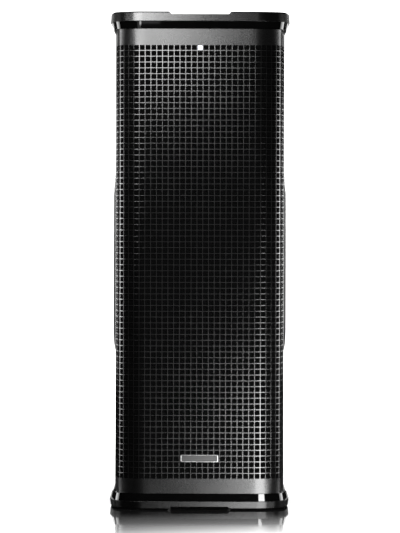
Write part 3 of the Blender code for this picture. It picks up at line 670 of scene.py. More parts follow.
def cap_mesh(inner_z, outer_z, top_index=0):
    way = 1 if outer_z > inner_z else -1
    tall = abs(outer_z - inner_z)
    floor = tall - CHANNEL_D
    run = cap_profile(tall)
    run = sorted(run + [(floor, lean(floor, tall))])
    bm = bmesh.new()
    loops = []
    for height, inset in run:
        loop = fillet(grow(CAP_PLAN, -inset))
        slide = CHANNEL_FLOOR
        if height > floor:
            slide += (CHANNEL_MOUTH - CHANNEL_FLOOR) * (height - floor) / CHANNEL_D
        points = []
        for x, y in loop:
            if abs(abs(x) - CHANNEL_FLOOR) < 0.01:
                x = math.copysign(slide, x)
            points.append((x, y, inner_z + way * height))
        loops.append([bm.verts.new(Vector(p) * MM) for p in points])
    plain = fillet(CAP_PLAN)
    count = len(plain)
    front_gap = [i for i in range(count) if abs(plain[i][0] + CHANNEL_FLOOR) < 0.01 and plain[i][1] < 0][0]
    back_gap = [i for i in range(count) if abs(plain[i][0] - CHANNEL_FLOOR) < 0.01 and plain[i][1] > 0][0]
    front_next, back_next = (front_gap + 1) % count, (back_gap + 1) % count
    opened = 0
    for level, (low, high) in enumerate(zip(loops, loops[1:])):
        above = run[level][0] >= floor - 1e-6
        for i in range(count):
            if above and i in (front_gap, back_gap):
                continue
            bm.faces.new((low[i], low[(i + 1) % count], high[(i + 1) % count], high[i]))
        if above:
            for one, two in ((front_next, back_gap), (back_next, front_gap)):
                bm.faces.new((low[one], high[one], high[two], low[two])).material_index = top_index
        elif run[level + 1][0] >= floor - 1e-6:
            opened = level + 1
    deck = loops[opened]
    top = loops[-1]
    right = [top[i] for i in range(front_next, back_gap + 1)]
    left = [top[i % count] for i in range(back_next, front_gap + 1 + (count if front_gap < back_next else 0))]
    for flat in ([deck[front_gap], deck[front_next], deck[back_gap], deck[back_next]], right, left):
        bm.faces.new(flat).material_index = top_index
    bm.faces.new(list(reversed(loops[0])))
    bmesh.ops.remove_doubles(bm, verts=bm.verts, dist=1e-6)
    return bm


piece("top_cap_moulding", cap_mesh(1025.1, 1045.0, 1), [CAP, CAP_TOP], node="top_cap", sharp=30)

pole_way = bmesh.new()
lathe(pole_way, [(0, -20.0), (22.0, -20.0), (22.0, 60.0), (0, 60.0)], (0, 20.0, 0), "Z", 64)
grooves = []
for side in (1, -1):
    groove = bmesh.new()
    slab(groove, box_loop(10.4, 125.4, 6.4, 8, (side * 125.0, 0)), -5.0, 3.6, "XY")
    grooves.append(groove)
piece(
    "bottom_cap_moulding",
    carved(cap_mesh(18.3, 2.0), [pole_way] + grooves),
    CAP,
    node="bottom_cap",
    sharp=30,
)


def ring_mesh(body_z, cap_z):
    way = 1 if cap_z > body_z else -1
    tall = abs(cap_z - body_z)
    run = [(0.0, -6.05), (tall * 0.35, -5.1), (tall * 0.7, -4.1), (tall, -3.2), (tall, -30.0), (0.0, -30.0)]
    bm = bmesh.new()
    skin(
        bm,
        [[(x, y, body_z + way * h) for x, y in fillet(grow(CAP_PLAN, by))] for h, by in run],
        closed=True,
    )
    return bm


piece("top_ring_gloss", ring_mesh(1009.7, 1024.8), GLOSS, node="top_trim_ring", sharp=40)
piece("bottom_ring_gloss", ring_mesh(33.6, 18.6), GLOSS, node="bottom_trim_ring", sharp=40)

# =====================================================================================
# Cabinet boards
# =====================================================================================
for side, name in ((1, "right"), (-1, "left")):
    outline = [(160.0, -131.0, 0.5, 2), (164.6, -131.0, 0.5, 2), (170.5, -79.4, 0, 0), (178.6, -79.4, 0.8, 3)]
    outline += [(178.6, y, 0, 0) for y in (20.0, 50.0, 56.0, 62.0, 68.0, 74.0)]
    outline += [(178.6, 95.0, 30.0, 10), (133.9, 173.7, 0.8, 3), (133.9, 143.3, 0, 0), (160.0, 91.2, 0, 0)]
    base = fillet(outline)
    flare_run = [(0.0, 4.4), (1.2, 4.4), (1.8, 3.6), (2.8, 2.4), (4.0, 1.6), (5.4, 1.0), (7.2, 0.4), (9.0, 0.0)]
    heights = [(BODY_0 + h, f) for h, f in flare_run] + [(BODY_1 - h, f) for h, f in reversed(flare_run)]
    sections = []
    for z, out in heights:
        row = []
        for x, y in base:
            fade = 1.0 if y < 50 else max(0.0, 1.0 - (y - 50.0) / 26.0)
            fade = fade * fade * (3 - 2 * fade)
            row.append((side * (x + (out * fade if x > 177.0 and y < 90 else 0.0)), y, z))
        sections.append(row)
    bm = bmesh.new()
    skin(bm, sections)
    cut = bmesh.new()
    round_box(cut, (60, 97.4, 312.4), (side * 172.0, 10.0, 523.0), 0)
    piece(
        name + "_side_board", carved(bm, [cut]), CABINET, node=name + "_side_panel", sharp=30
    )

bm = bmesh.new()
round_box(bm, (266.8, 14.5, 975.5), (0, 166.75, 521.65), 0)
way_bm, rebate_bm = bmesh.new(), bmesh.new()
round_box(way_bm, (216.0, 60.0, 366.0), (0, 165.0, 330.0), 0)
slab(rebate_bm, box_loop(120.0, 195.0, 5.0, 6, (0, 330.0)), 164.5, 190.0, "XZ")
bm = carved(bm, [way_bm, rebate_bm])
soften(bm, 0.7, 2)
piece("back_board", bm, CABINET, node="back_panel", weighted=True)

# =====================================================================================
# Power light and blank name plate
# =====================================================================================
bm = bmesh.new()
round_box(bm, (8.2, 11.2, 8.2), (0, -169.6, LIGHT_Z), 2.2, 5)
round_box(bm, (14.0, 2.0, 14.0), (0, -165.8, LIGHT_Z), 0.4)
piece("power_light_lens", bm, LAMP, node="power_led")

bm = bmesh.new()
outer = box_loop(39.0, 7.5, 1.8, 8, (0, 108.0))
rim = [(-175.4, 0.0), (-176.9, 0.0), (-177.25, 0.12), (-177.4, 0.5), (-177.4, 0.85), (-177.2, 1.1), (-176.6, 1.25)]
sections = []
for y, inset in rim:
    loop = box_loop(39.0 - inset, 7.5 - inset, 1.8 - inset * 0.7, 8, (0, 108.0))
    sections.append([(x, y, z) for x, z in loop])
skin(bm, sections)
bm.faces.ensure_lookup_table()
for face in bm.faces:
    if len(face.verts) > 4 and face.calc_center_median().y < -0.1762 and face.calc_center_median().y > -0.1770:
        face.material_index = 1
piece("name_plate_blank", bm, [BADGE, BADGE_FIELD], node="badge_plate", sharp=40)

# =====================================================================================
# Feet and pole socket
# =====================================================================================
for side, name in ((1, "right"), (-1, "left")):
    bm = bmesh.new()
    sections = []
    for z, inset in ((3.2, 0.3), (2.9, 0.0), (0.7, 0.0), (0.2, 0.25), (0.0, 0.8)):
        sections.append(
            [(x, y, z) for x, y in box_loop(10.0 - inset, 125.0 - inset, 6.0 - inset, 10, (side * 125.0, 0))]
        )
    skin(bm, sections)
    tools = []
    for k in range(24):
        tool = bmesh.new()
        round_box(tool, (15.0, 2.4, 1.6), (side * 125.0, (k - 11.5) * 9.6, 0.0), 0)
        tools.append(tool)
    piece(name + "_foot_tread", carved(bm, tools), RUBBER, node=name + "_foot_rail")

bm = bmesh.new()
lathe(
    bm,
    [
        (0, 95.0), (19.6, 95.0), (20.6, 94.6), (21.0, 93.6), (21.0, 33.3), (33.4, 33.3), (34.0, 32.7), (34.0, 30.1),
        (33.4, 29.5), (21.0, 29.5), (21.0, 8.6), (20.6, 8.0), (19.4, 8.0), (18.3, 9.4), (18.0, 10.6), (18.0, 91.0),
        (0, 91.0),
    ],
    (0, 20.0, 0),
    "Z",
    72,
)
piece("pole_socket_cup", bm, SOCKET, node="pole_socket")

# =====================================================================================
# Side handles
# =====================================================================================
for side, name in ((1, "right"), (-1, "left")):

    def rim_loop(x, half_len, half_wide, radius):
        return [(side * x, 10.0 + y, 523.0 + z) for y, z in box_loop(half_wide, half_len, radius, 14)]

    sections = [
        rim_loop(121.0, 146.0, 40.0, 26.0),
        rim_loop(121.6, 149.0, 43.0, 29.0),
        rim_loop(123.0, 150.1, 44.1, 30.0),
        rim_loop(178.7, 155.0, 47.5, 32.0),
        rim_loop(178.95, 197.4, 57.4, 49.6),
        rim_loop(179.3, 198.0, 58.0, 50.0),
        rim_loop(179.9, 197.7, 57.8, 49.8),
        rim_loop(181.0, 194.2, 56.5, 49.0),
        rim_loop(182.2, 189.2, 54.9, 48.3),
        rim_loop(183.2, 182.6, 53.2, 47.4),
        rim_loop(183.8, 175.0, 51.7, 46.6),
        rim_loop(184.0, 166.0, 50.3, 45.4),
        rim_loop(183.9, 157.0, 48.6, 33.4),
        rim_loop(183.4, 154.2, 46.2, 31.4),
        rim_loop(182.2, 152.6, 44.8, 30.2),
        rim_loop(180.0, 151.4, 43.9, 29.5),
        rim_loop(176.0, 150.4, 43.0, 29.0),
        rim_loop(128.0, 146.4, 40.3, 27.0),
        rim_loop(125.0, 145.2, 39.2, 26.0),
        rim_loop(124.0, 142.0, 36.0, 23.0),
    ]
    bm = bmesh.new()
    skin(bm, sections)
    piece(name + "_handle_shell", bm, HANDLE, node=name + "_handle_cup", sharp=50)

    bm = bmesh.new()
    stations = []
    for k in range(97):
        s = -1.0 + 2.0 * k / 96
        z = 523.0 + 147.6 * s
        x = 169.0 - 3.0 * s * s
        edge = min(1.0, (1.0 - abs(s)) / 0.02)
        collar = 1.0 if abs(s) < 0.86 else 0.93
        groove = 1.0
        if abs(s) < 0.8:
            groove = 1.0 - 0.035 * max(0.0, math.cos(math.pi * (abs(s) * 96 * 0.5) / 1.5)) ** 6
        r = 12.4 * collar * groove * (0.92 + 0.08 * edge)
        loop = []
        for q in range(40):
            a = 2 * math.pi * q / 40
            loop.append((side * (x + 0.92 * r * math.cos(a)), 10.0 + r * math.sin(a), z))
        stations.append(loop)
    skin(bm, stations)
    piece(name + "_grip_sleeve", bm, RUBBER, node=name + "_handle_grip", sharp=60)

# =====================================================================================
# Amplifier back panel
# =====================================================================================
PANEL_Z, KNOB_Z, JACK_Z, INLET_Z = 330.0, 362.0, 296.0, 205.0
PANEL_FACE = 167.3

panel_bm = bmesh.new()
slab(panel_bm, box_loop(119.0, 194.0, 4.0, 8, (0, PANEL_Z)), 164.8, PANEL_FACE, "XZ")
tools = []


def drill(radius, x, z, y0=150.0, y1=190.0, steps=40):
    tool = bmesh.new()
    lathe(tool, [(0, y0), (radius, y0), (radius, y1), (0, y1)], (x, 0, z), "Y", steps)
    return tool


for x in (50.0, -50.0):
    tools.append(drill(12.3, x, JACK_Z))
for x in (60.0, 0.0):
    tools.append(drill(3.6, x, KNOB_Z))
tools.append(drill(5.7, -60.0, KNOB_Z))
inlet_way = bmesh.new()
slab(inlet_way, box_loop(47.0, 15.0, 1.0, 3, (-3.0, INLET_Z)), 150.0, 190.0, "XZ")
tools.append(inlet_way)
panel_bm = carved(panel_bm, tools)
soften(panel_bm, 0.3, 2)
piece("amp_panel_sheet", panel_bm, PANEL, node="rear_panel", weighted=True)

# printed dial marks and section lines, no words
bm = bmesh.new()
INK = 0.06


def ink(size_x, size_z, x, z, turn=0.0):
    matrix = Matrix.Translation(Vector((x, PANEL_FACE + INK / 2, z)) * MM)
    matrix = matrix @ Matrix.Rotation(turn, 4, "Y") @ Matrix.Diagonal((size_x * MM, INK * MM, size_z * MM, 1))
    bmesh.ops.create_cube(bm, size=1.0, matrix=matrix)


for x in (60.0, 0.0):
    for k in range(11):
        a = math.radians(-150 + 30 * k)
        long_mark = 3.4 if k in (0, 5, 10) else 2.2
        r = 13.2 + long_mark / 2
        ink(0.7, long_mark, x + r * math.sin(a), KNOB_Z + r * math.cos(a), a)


def ink_frame(x0, z0, x1, z1, line=0.5):
    ink(x1 - x0, line, (x0 + x1) / 2, z0)
    ink(x1 - x0, line, (x0 + x1) / 2, z1)
    ink(line, z1 - z0, x0, (z0 + z1) / 2)
    ink(line, z1 - z0, x1, (z0 + z1) / 2)


ink_frame(-104.0, 334.0, 104.0, 391.0)
ink_frame(-104.0, 266.0, 104.0, 328.0)
ink_frame(-104.0, 172.0, 104.0, 238.0)
ink(0.5, 57.0, -30.0, 362.5)
ink(0.5, 62.0, 0.0, 297.0)
piece("panel_marks", bm, PRINT)

# heat sink with rounded fins
comb = []
for k in range(15):
    x = (k - 7) * 13.6
    comb += [(x - 1.5, 4.0), (x - 1.25, 5.2), (x - 1.1, 14.2), (x - 0.7, 14.85), (x, 15.0)]
    comb += [(x + 0.7, 14.85), (x + 1.1, 14.2), (x + 1.25, 5.2), (x + 1.5, 4.0)]
comb = [(-100.0, 3.4)] + [(-99.4, 4.0)] + comb + [(99.4, 4.0), (100.0, 3.4), (100.0, 0.0), (-100.0, 0.0)]
bm = bmesh.new()
skin(bm, [[(x, 167.6 + y, z) for x, y in comb] for z in (403.0, 511.0)])
piece("heat_sink_fins", bm, SINK, node="heat_sink", sharp=40)


def cross_screw(x, y, z, radius, rise, depth_y=None):
    """Pan head with a cross recess, seen from the back."""
    bm = bmesh.new()
    lathe(
        bm,
        [
            (0, rise), (radius * 0.45, rise * 0.97), (radius * 0.75, rise * 0.82), (radius * 0.93, rise * 0.5),
            (radius, rise * 0.2), (radius, 0.0), (radius * 0.45, 0.0), (radius * 0.45, -(depth_y or 1.0)),
            (0, -(depth_y or 1.0)),
        ],
        (x, y, z),
        "Y",
        40,
    )
    cuts = []
    for turn in (0.35, 0.35 + math.pi / 2):
        cut = bmesh.new()
        matrix = Matrix.Translation(Vector((x, y + rise, z)) * MM) @ Matrix.Rotation(turn, 4, "Y")
        bmesh.ops.create_cube(
            cut, size=1.0, matrix=matrix @ Matrix.Diagonal((radius * 1.15 * MM, rise * 1.1 * MM, radius * 0.24 * MM, 1))
        )
        cuts.append(cut)
    return carved(bm, cuts)


for sx, across in ((1, "left"), (-1, "right")):
    for sz, level in ((1, "upper"), (-1, "lower")):
        name = "panel_screw_" + level + "_" + across
        piece(
            name + "_head",
            cross_screw(sx * 113.5, 167.6, PANEL_Z + sz * 188.0, 4.0, 2.2, 9.0),
            SCREW,
            node=name,
        )

# ---- knobs -------------------------------------------------------------------------


def flutes(a, height, radius):
    if 3.2 < height < 13.6:
        return 1.0 - 0.05 * max(0.0, math.cos(24 * a)) ** 2
    return 1.0


for name, x in (("level_knob", 60.0), ("tone_knob", 0.0)):
    bm = bmesh.new()
    lathe(
        bm,
        [
            (0, 14.6), (6.2, 14.6), (6.9, 14.75), (7.5, 15.0), (8.1, 14.8), (8.5, 14.2), (8.6, 13.5), (8.9, 10.0),
            (9.2, 6.0), (9.35, 3.6), (9.5, 3.0), (10.4, 2.5), (10.85, 2.1), (11.0, 1.6), (11.0, 0.3), (10.7, 0.0),
            (3.0, 0.0), (3.0, -7.0), (0, -7.0),
        ],
        (x, 168.0, KNOB_Z),
        "Y",
        144,
        flutes,
    )
    made = len(bm.faces)
    round_box(bm, (1.3, 1.2, 6.4), (x, 182.9, KNOB_Z + 4.0), 0.25)
    paint(bm, 1, made)
    round_box(bm, (0.9, 0.5, 1.6), (x, 169.9, KNOB_Z + 10.0), 0.1)
    paint(bm, 1, made)
    piece(name + "_cap", bm, [KNOB, PRINT], body=name + "_body", node=name, sharp=42)

bm = bmesh.new()
lathe(
    bm,
    [(0, 3.9), (2.6, 4.0), (3.8, 4.2), (4.5, 4.0), (4.9, 3.5), (5.0, 2.9), (5.0, -9.0), (0, -9.0)],
    (-60.0, 168.0, KNOB_Z),
    "Y",
    56,
)
piece("mode_button_cap", bm, KNOB, body="mode_button_body", node="mode_button")

# ---- signal sockets ----------------------------------------------------------------
for name, x in (("input_jack", 50.0), ("link_jack", -50.0)):
    bm = bmesh.new()
    sections = []
    for y, inset in ((167.6, 0.0), (169.9, 0.0), (170.6, 0.25), (171.0, 0.7), (171.1, 1.3)):
        sections.append(
            [(px, y, pz) for px, pz in box_loop(13.0 - inset, 15.5 - inset, 3.0 - inset * 0.5, 8, (x, JACK_Z))]
        )
    skin(bm, sections)
    barrel = bmesh.new()
    lathe(barrel, [(0, 143.0), (11.7, 143.0), (11.7, 170.0), (0, 170.0)], (x, 0, JACK_Z), "Y", 64)
    bm = carved(bm, [barrel], "UNION")
    tools = []
    if name == "input_jack":
        tools += [drill(9.6, x, JACK_Z, 169.0, 190.0, 64), drill(4.8, x, JACK_Z, 148.0, 190.0, 48)]
        for k in range(3):
            a = math.radians(30 + 120 * k)
            tools.append(drill(1.35, x + 7.0 * math.cos(a), JACK_Z + 7.0 * math.sin(a), 158.0, 190.0, 20))
        slot_tool = bmesh.new()
        round_box(slot_tool, (8.8, 8.0, 4.6), (x, 172.3, JACK_Z + 12.4), 0)
        tools.append(slot_tool)
    else:
        tools.append(drill(9.6, x, JACK_Z, 156.0, 190.0, 64))
    bm = carved(bm, tools)
    made = len(bm.faces)
    if name == "link_jack":
        for k in range(3):
            a = math.radians(90 + 120 * k)
            lathe(
                bm,
                [(0, 168.0), (0.7, 167.8), (1.15, 167.2), (1.3, 166.4), (1.3, 155.0), (0, 155.0)],
                (x + 5.8 * math.cos(a), 0, JACK_Z + 5.8 * math.sin(a)),
                "Y",
                24,
            )
        paint(bm, 1, made)
        made = len(bm.faces)
        round_box(bm, (2.6, 12.0, 1.6), (x, 162.5, JACK_Z - 8.9), 0.3)
        paint(bm, 0, made)
    else:
        lathe(bm, [(9.55, 171.35), (9.75, 171.5), (9.95, 171.35), (10.05, 171.0), (9.5, 171.0)], (x, 0, JACK_Z), "Y", 72)
        paint(bm, 2, made)
    made = len(bm.faces)
    for dx, dz in ((-9.9, 12.3), (9.9, -12.3)):
        screw = cross_screw(x + dx, 171.0, JACK_Z + dz, 2.2, 0.9, 2.0)
        held = bpy.data.meshes.new("held")
        screw.to_mesh(held)
        screw.free()
        bm.from_mesh(held)
        bpy.data.meshes.remove(held)
    paint(bm, 3, made)
    piece(name + "_socket", bm, [SOCKET, BRASS, CHROME, SCREW], node=name, sharp=38)

bm = bmesh.new()
round_box(bm, (8.2, 2.0, 3.7), (50.0, 171.1, JACK_Z + 12.45), 0.5, 3)
for k in range(3):
    round_box(bm, (6.4, 0.5, 0.5), (50.0, 172.0, JACK_Z + 11.4 + k * 1.0), 0.12)
piece("jack_latch_tab", bm, CHROME, body="jack_latch_body", node="jack_latch")

# ---- mains inlet and switch --------------------------------------------------------
bm = bmesh.new()
sections = []
for y, inset in ((167.6, 0.0), (169.3, 0.0), (169.9, 0.3), (170.2, 0.9)):
    sections.append([(px, y, pz) for px, pz in box_loop(51.0 - inset, 18.0 - inset, 2.4 - inset * 0.5, 8, (-3.0, INLET_Z))])
skin(bm, sections)
rear_box = bmesh.new()
round_box(rear_box, (92.0, 28.0, 28.0), (-3.0, 155.0, INLET_Z), 0)
bm = carved(bm, [rear_box], "UNION")
mouth, well = bmesh.new(), bmesh.new()
shape = fillet(
    [
        (22.0 + 12.5, INLET_Z - 8.5, 1.0, 4), (22.0 + 12.5, INLET_Z + 3.6, 1.0, 4), (22.0 + 7.6, INLET_Z + 8.5, 1.0, 4),
        (22.0 - 7.6, INLET_Z + 8.5, 1.0, 4), (22.0 - 12.5, INLET_Z + 3.6, 1.0, 4), (22.0 - 12.5, INLET_Z - 8.5, 1.0, 4),
    ]
)
slab(mouth, shape, 153.2, 190.0, "XZ")
slab(well, box_loop(6.8, 11.2, 0.8, 4, (-28.0, INLET_Z)), 158.2, 190.0, "XZ")
bm = carved(bm, [mouth, well])
made = len(bm.faces)
for dx, dz in ((-7.0, -2.0), (7.0, -2.0), (0.0, 2.5)):
    round_box(bm, (2.0, 12.4, 4.6), (22.0 + dx, 158.8, INLET_Z + dz), 0.45, 3)
paint(bm, 1, made)
piece("mains_inlet_socket", bm, [SOCKET, BRASS], node="mains_inlet", sharp=38)

side_view = [(-7.0, -5.0), (7.0, -5.0), (9.2, 2.2), (9.6, 3.4), (9.6, 4.9), (9.3, 5.2), (6.0, 4.35), (3.0, 3.7), (0.0, 3.45)]
side_view += [(-3.0, 3.7), (-6.0, 4.35), (-9.3, 5.2), (-9.6, 4.9), (-9.6, 3.4), (-9.2, 2.2)]
tilt = math.radians(-10)
ct, st = math.cos(tilt), math.sin(tilt)


def on_rocker(x, z, y):
    return (-28.0 + x, 166.0 + z * st + y * ct, INLET_Z + z * ct - y * st)


bm = bmesh.new()
rows = []
for x, inset in ((-6.2, 0.5), (-6.05, 0.12), (-5.7, 0.0), (5.7, 0.0), (6.05, 0.12), (6.2, 0.5)):
    rows.append([on_rocker(x, z - math.copysign(min(inset, abs(z)), z), y - (inset if y > 0 else -inset)) for z, y in side_view])
skin(bm, rows)
made = len(bm.faces)


def rocker_mark(outline_xz, closed_ring=None):
    def top(z):
        return 3.45 + 1.75 * (abs(z) / 9.3) ** 1.35

    if closed_ring is None:
        skin(bm, [[on_rocker(x, z, top(z) - 0.3) for x, z in outline_xz], [on_rocker(x, z, top(z) + 0.06) for x, z in outline_xz]])
    else:
        outer_ring, inner_ring = outline_xz, closed_ring
        skin(
            bm,
            [
                [on_rocker(x, z, top(z) - 0.3) for x, z in outer_ring],
                [on_rocker(x, z, top(z) + 0.06) for x, z in outer_ring],
                [on_rocker(x, z, top(z) + 0.06) for x, z in inner_ring],
                [on_rocker(x, z, top(z) - 0.3) for x, z in inner_ring],
            ],
            closed=True,
        )


rocker_mark([(-0.45, 3.6), (0.45, 3.6), (0.45, 7.4), (-0.45, 7.4)])
rocker_mark(ring_loop(2.0, (0, -5.4), 28), ring_loop(1.25, (0, -5.4), 28))
paint(bm, 1, made)
piece("power_rocker_key", bm, [KNOB, PRINT], body="power_rocker_body", node="power_rocker", sharp=38)

# =====================================================================================
# Carried-over inner pieces keep their solids and get real finishes
# =====================================================================================
INNER = {
    "top_board": BOARD, "bottom_board": BOARD, "front_baffle": BOARD, "horn_flare": HORN, "port_duct": HORN,
    "amp_chassis": PANEL, "control_board": PCB, "power_supply": PCB,
}
for node, material in INNER.items():
    data = NODES[node].data
    data.materials.clear()
    data.materials.append(material)

# =====================================================================================
# Drivers: turned pieces, heights measured forward from the baffle's face
# =====================================================================================
BAFFLE_Y = -140.0


def turned_piece(name, node, profile, centre, material, body="cabinet"):
    bm = bmesh.new()
    lathe(bm, [(r, -h) for r, h in profile], centre, "Y", 72)
    return piece(name, bm, material, body=body, node=node, sharp=32)


def bowl(radius, top, edge, count=10):
    return [(radius * k / count, top - (top - edge) * (k / count) ** 2) for k in range(count + 1)]


for level, z in (("lower", 195.0), ("upper", 848.0)):
    spot, woofer, moving = (0.0, BAFFLE_Y, z), level + "_woofer_", level + "_woofer_moving"
    bm = bmesh.new()
    frame_run = [
        (128.2, 6.3), (129.0, 5.5), (129.0, 0.3), (117.1, 0.3), (116.6, -8.0), (68.0, -66.0), (68.0, -80.0), (29.5, -80.0),
        (29.5, -76.5), (54.0, -76.5), (54.0, -62.0), (63.5, -62.0), (112.5, -4.0), (112.5, 3.3), (121.0, 3.3), (121.0, 5.7),
        (121.6, 6.3),
    ]
    lathe(bm, [(r, -h) for r, h in frame_run], spot, "Y", 72)
    windows = bmesh.new()
    for k in range(6):
        turn = Matrix.Rotation(2 * math.pi * (k + 0.25) / 6, 4, "Y")
        shift = Matrix.Translation(Vector((98.0, 36.0, 0.0)) * MM)
        size = Matrix.Diagonal((62 * MM, 34 * MM, 54 * MM, 1))
        bmesh.ops.create_cube(windows, size=1.0, matrix=Matrix.Translation(Vector(spot) * MM) @ turn @ shift @ size)
    piece(level + "_frame_casting", carved(bm, [windows]), CAST, node=woofer + "basket", sharp=32)
    cone = [(100.2, -1.6), (100.2, -3.4), (30.5, -51.5), (26.5, -56.0), (26.5, -52.0), (29.8, -49.6)]
    turned_piece(level + "_cone_paper", woofer + "cone", cone, spot, PAPER, moving)
    dust = bowl(38.0, -31.0, -42.6) + list(reversed(bowl(37.4, -31.9, -43.4)))
    turned_piece(level + "_dust_dome", woofer + "dust_cap", dust, spot, PAPER, moving)
    coil = [(26.1, -47.0), (26.1, -77.5), (27.2, -77.5), (27.2, -87.0), (25.4, -87.0), (25.4, -47.0)]
    turned_piece(level + "_coil_former", woofer + "voice_coil", coil, spot, COPPER, moving)
    plate = [(65.2, -80.3), (66.0, -81.1), (66.0, -88.3), (28.0, -88.3), (28.0, -80.3)]
    turned_piece(level + "_front_plate", woofer + "top_plate", plate, spot, CHROME)
    magnet = [(70.8, -88.6), (72.0, -89.8), (72.0, -107.4), (70.8, -108.6), (36.0, -108.6), (36.0, -88.6)]
    turned_piece(level + "_ring_magnet", woofer + "magnet", magnet, spot, FERRITE)
    yoke = [
        (24.0, -79.5), (24.6, -80.1), (24.6, -108.9), (66.0, -108.9), (66.0, -116.0), (65.0, -117.0), (9.0, -117.0),
        (9.0, -79.5),
    ]
    turned_piece(level + "_back_yoke", woofer + "yoke", yoke, spot, CHROME)

throat = (0.0, -29.4, 521.5)
housing = [
    (0.0, -30.0), (30.0, -30.0), (30.0, -14.0), (12.9, -14.0), (12.9, 0.0), (46.8, 0.0), (48.0, -1.2), (48.0, -50.0),
    (46.0, -52.0), (0.0, -52.0),
]
turned_piece("hf_housing_casting", "hf_driver_housing", housing, throat, CAST)
dome = bowl(20.5, -17.5, -22.0) + [(21.2, -22.0), (21.2, -27.0), (20.5, -27.0), (20.5, -22.8)]
dome += list(reversed(bowl(20.5, -18.2, -22.8)))[1:]
turned_piece("hf_diaphragm_dome", "hf_diaphragm", dome, throat, COPPER, "hf_diaphragm_moving")

# =====================================================================================
# Woofer suspensions: the outer edge stays with the frame, the inner edge goes with the cone
# =====================================================================================


def roll_arc(radius, start, stop, count=20):
    angles = [math.pi * (start + (stop - start) * k / count) for k in range(count + 1)]
    return [(106.8 + radius * math.cos(a), 2.6 + radius * math.sin(a)) for a in angles]


def pleat(r):
    if r < 31.0:
        return -61.3 - 2.2 * math.sin(math.pi / 2 * (r - 26.5) / 4.5)
    if r < 52.0:
        return -61.3 - 2.2 * math.cos(math.pi * (r - 31.0) / 7.0)
    return -61.3 + 2.2 * math.cos(math.pi / 2 * (r - 52.0) / 10.8)


def soft_ring(name, node, profile, z, material, moving, inner, outer):
    bm = bmesh.new()
    lathe(bm, [(r, -h) for r, h in profile], (0, BAFFLE_Y, z), "Y", 72)
    bmesh.ops.recalc_face_normals(bm, faces=bm.faces)
    mesh = bpy.data.meshes.new(name)
    bm.to_mesh(mesh)
    bm.free()
    mesh.materials.append(material)
    mesh.shade_smooth()
    mesh.set_sharp_from_angle(angle=math.radians(50))
    obj = bpy.data.objects.new(name, mesh)
    bpy.context.scene.collection.objects.link(obj)
    y = BAFFLE_Y * MM
    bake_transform(obj, "cabinet", moving, start=(outer * MM, y, z * MM), end=(inner * MM, y, z * MM))
    share = []
    for vertex in mesh.vertices:
        radius = math.hypot(vertex.co.x, vertex.co.z - z * MM) / MM
        t = min(max((outer - radius) / (outer - inner), 0.0), 1.0)
        share.append(t * t * (3 - 2 * t))
    mesh.attributes["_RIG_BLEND"].data.foreach_set("value", share)
    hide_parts(node)


PLEATS = [26.6 + (62.8 - 26.6) * k / 44 for k in range(45)]
for level, z in (("lower", 195.0), ("upper", 848.0)):
    moving = level + "_woofer_moving"
    surround = [(120.6, 4.6), (120.6, 3.6)] + roll_arc(5.2, 0.065, 1.0) + [(101.6, -2.4), (100.5, -2.4)]
    surround += list(reversed(roll_arc(6.2, 0.105, 1.0)))
    soft_ring(level + "_surround_roll", level + "_woofer_surround", surround, z, RUBBER, moving, 101.6, 117.0)
    spider = [(r, pleat(r) + 0.4) for r in PLEATS] + [(r, pleat(r) - 0.4) for r in reversed(PLEATS)]
    soft_ring(level + "_spider_cloth", level + "_woofer_spider", spider, z, SPIDER, moving, 27.5, 61.5)

# =====================================================================================
# Floor, light, world and camera
# =====================================================================================


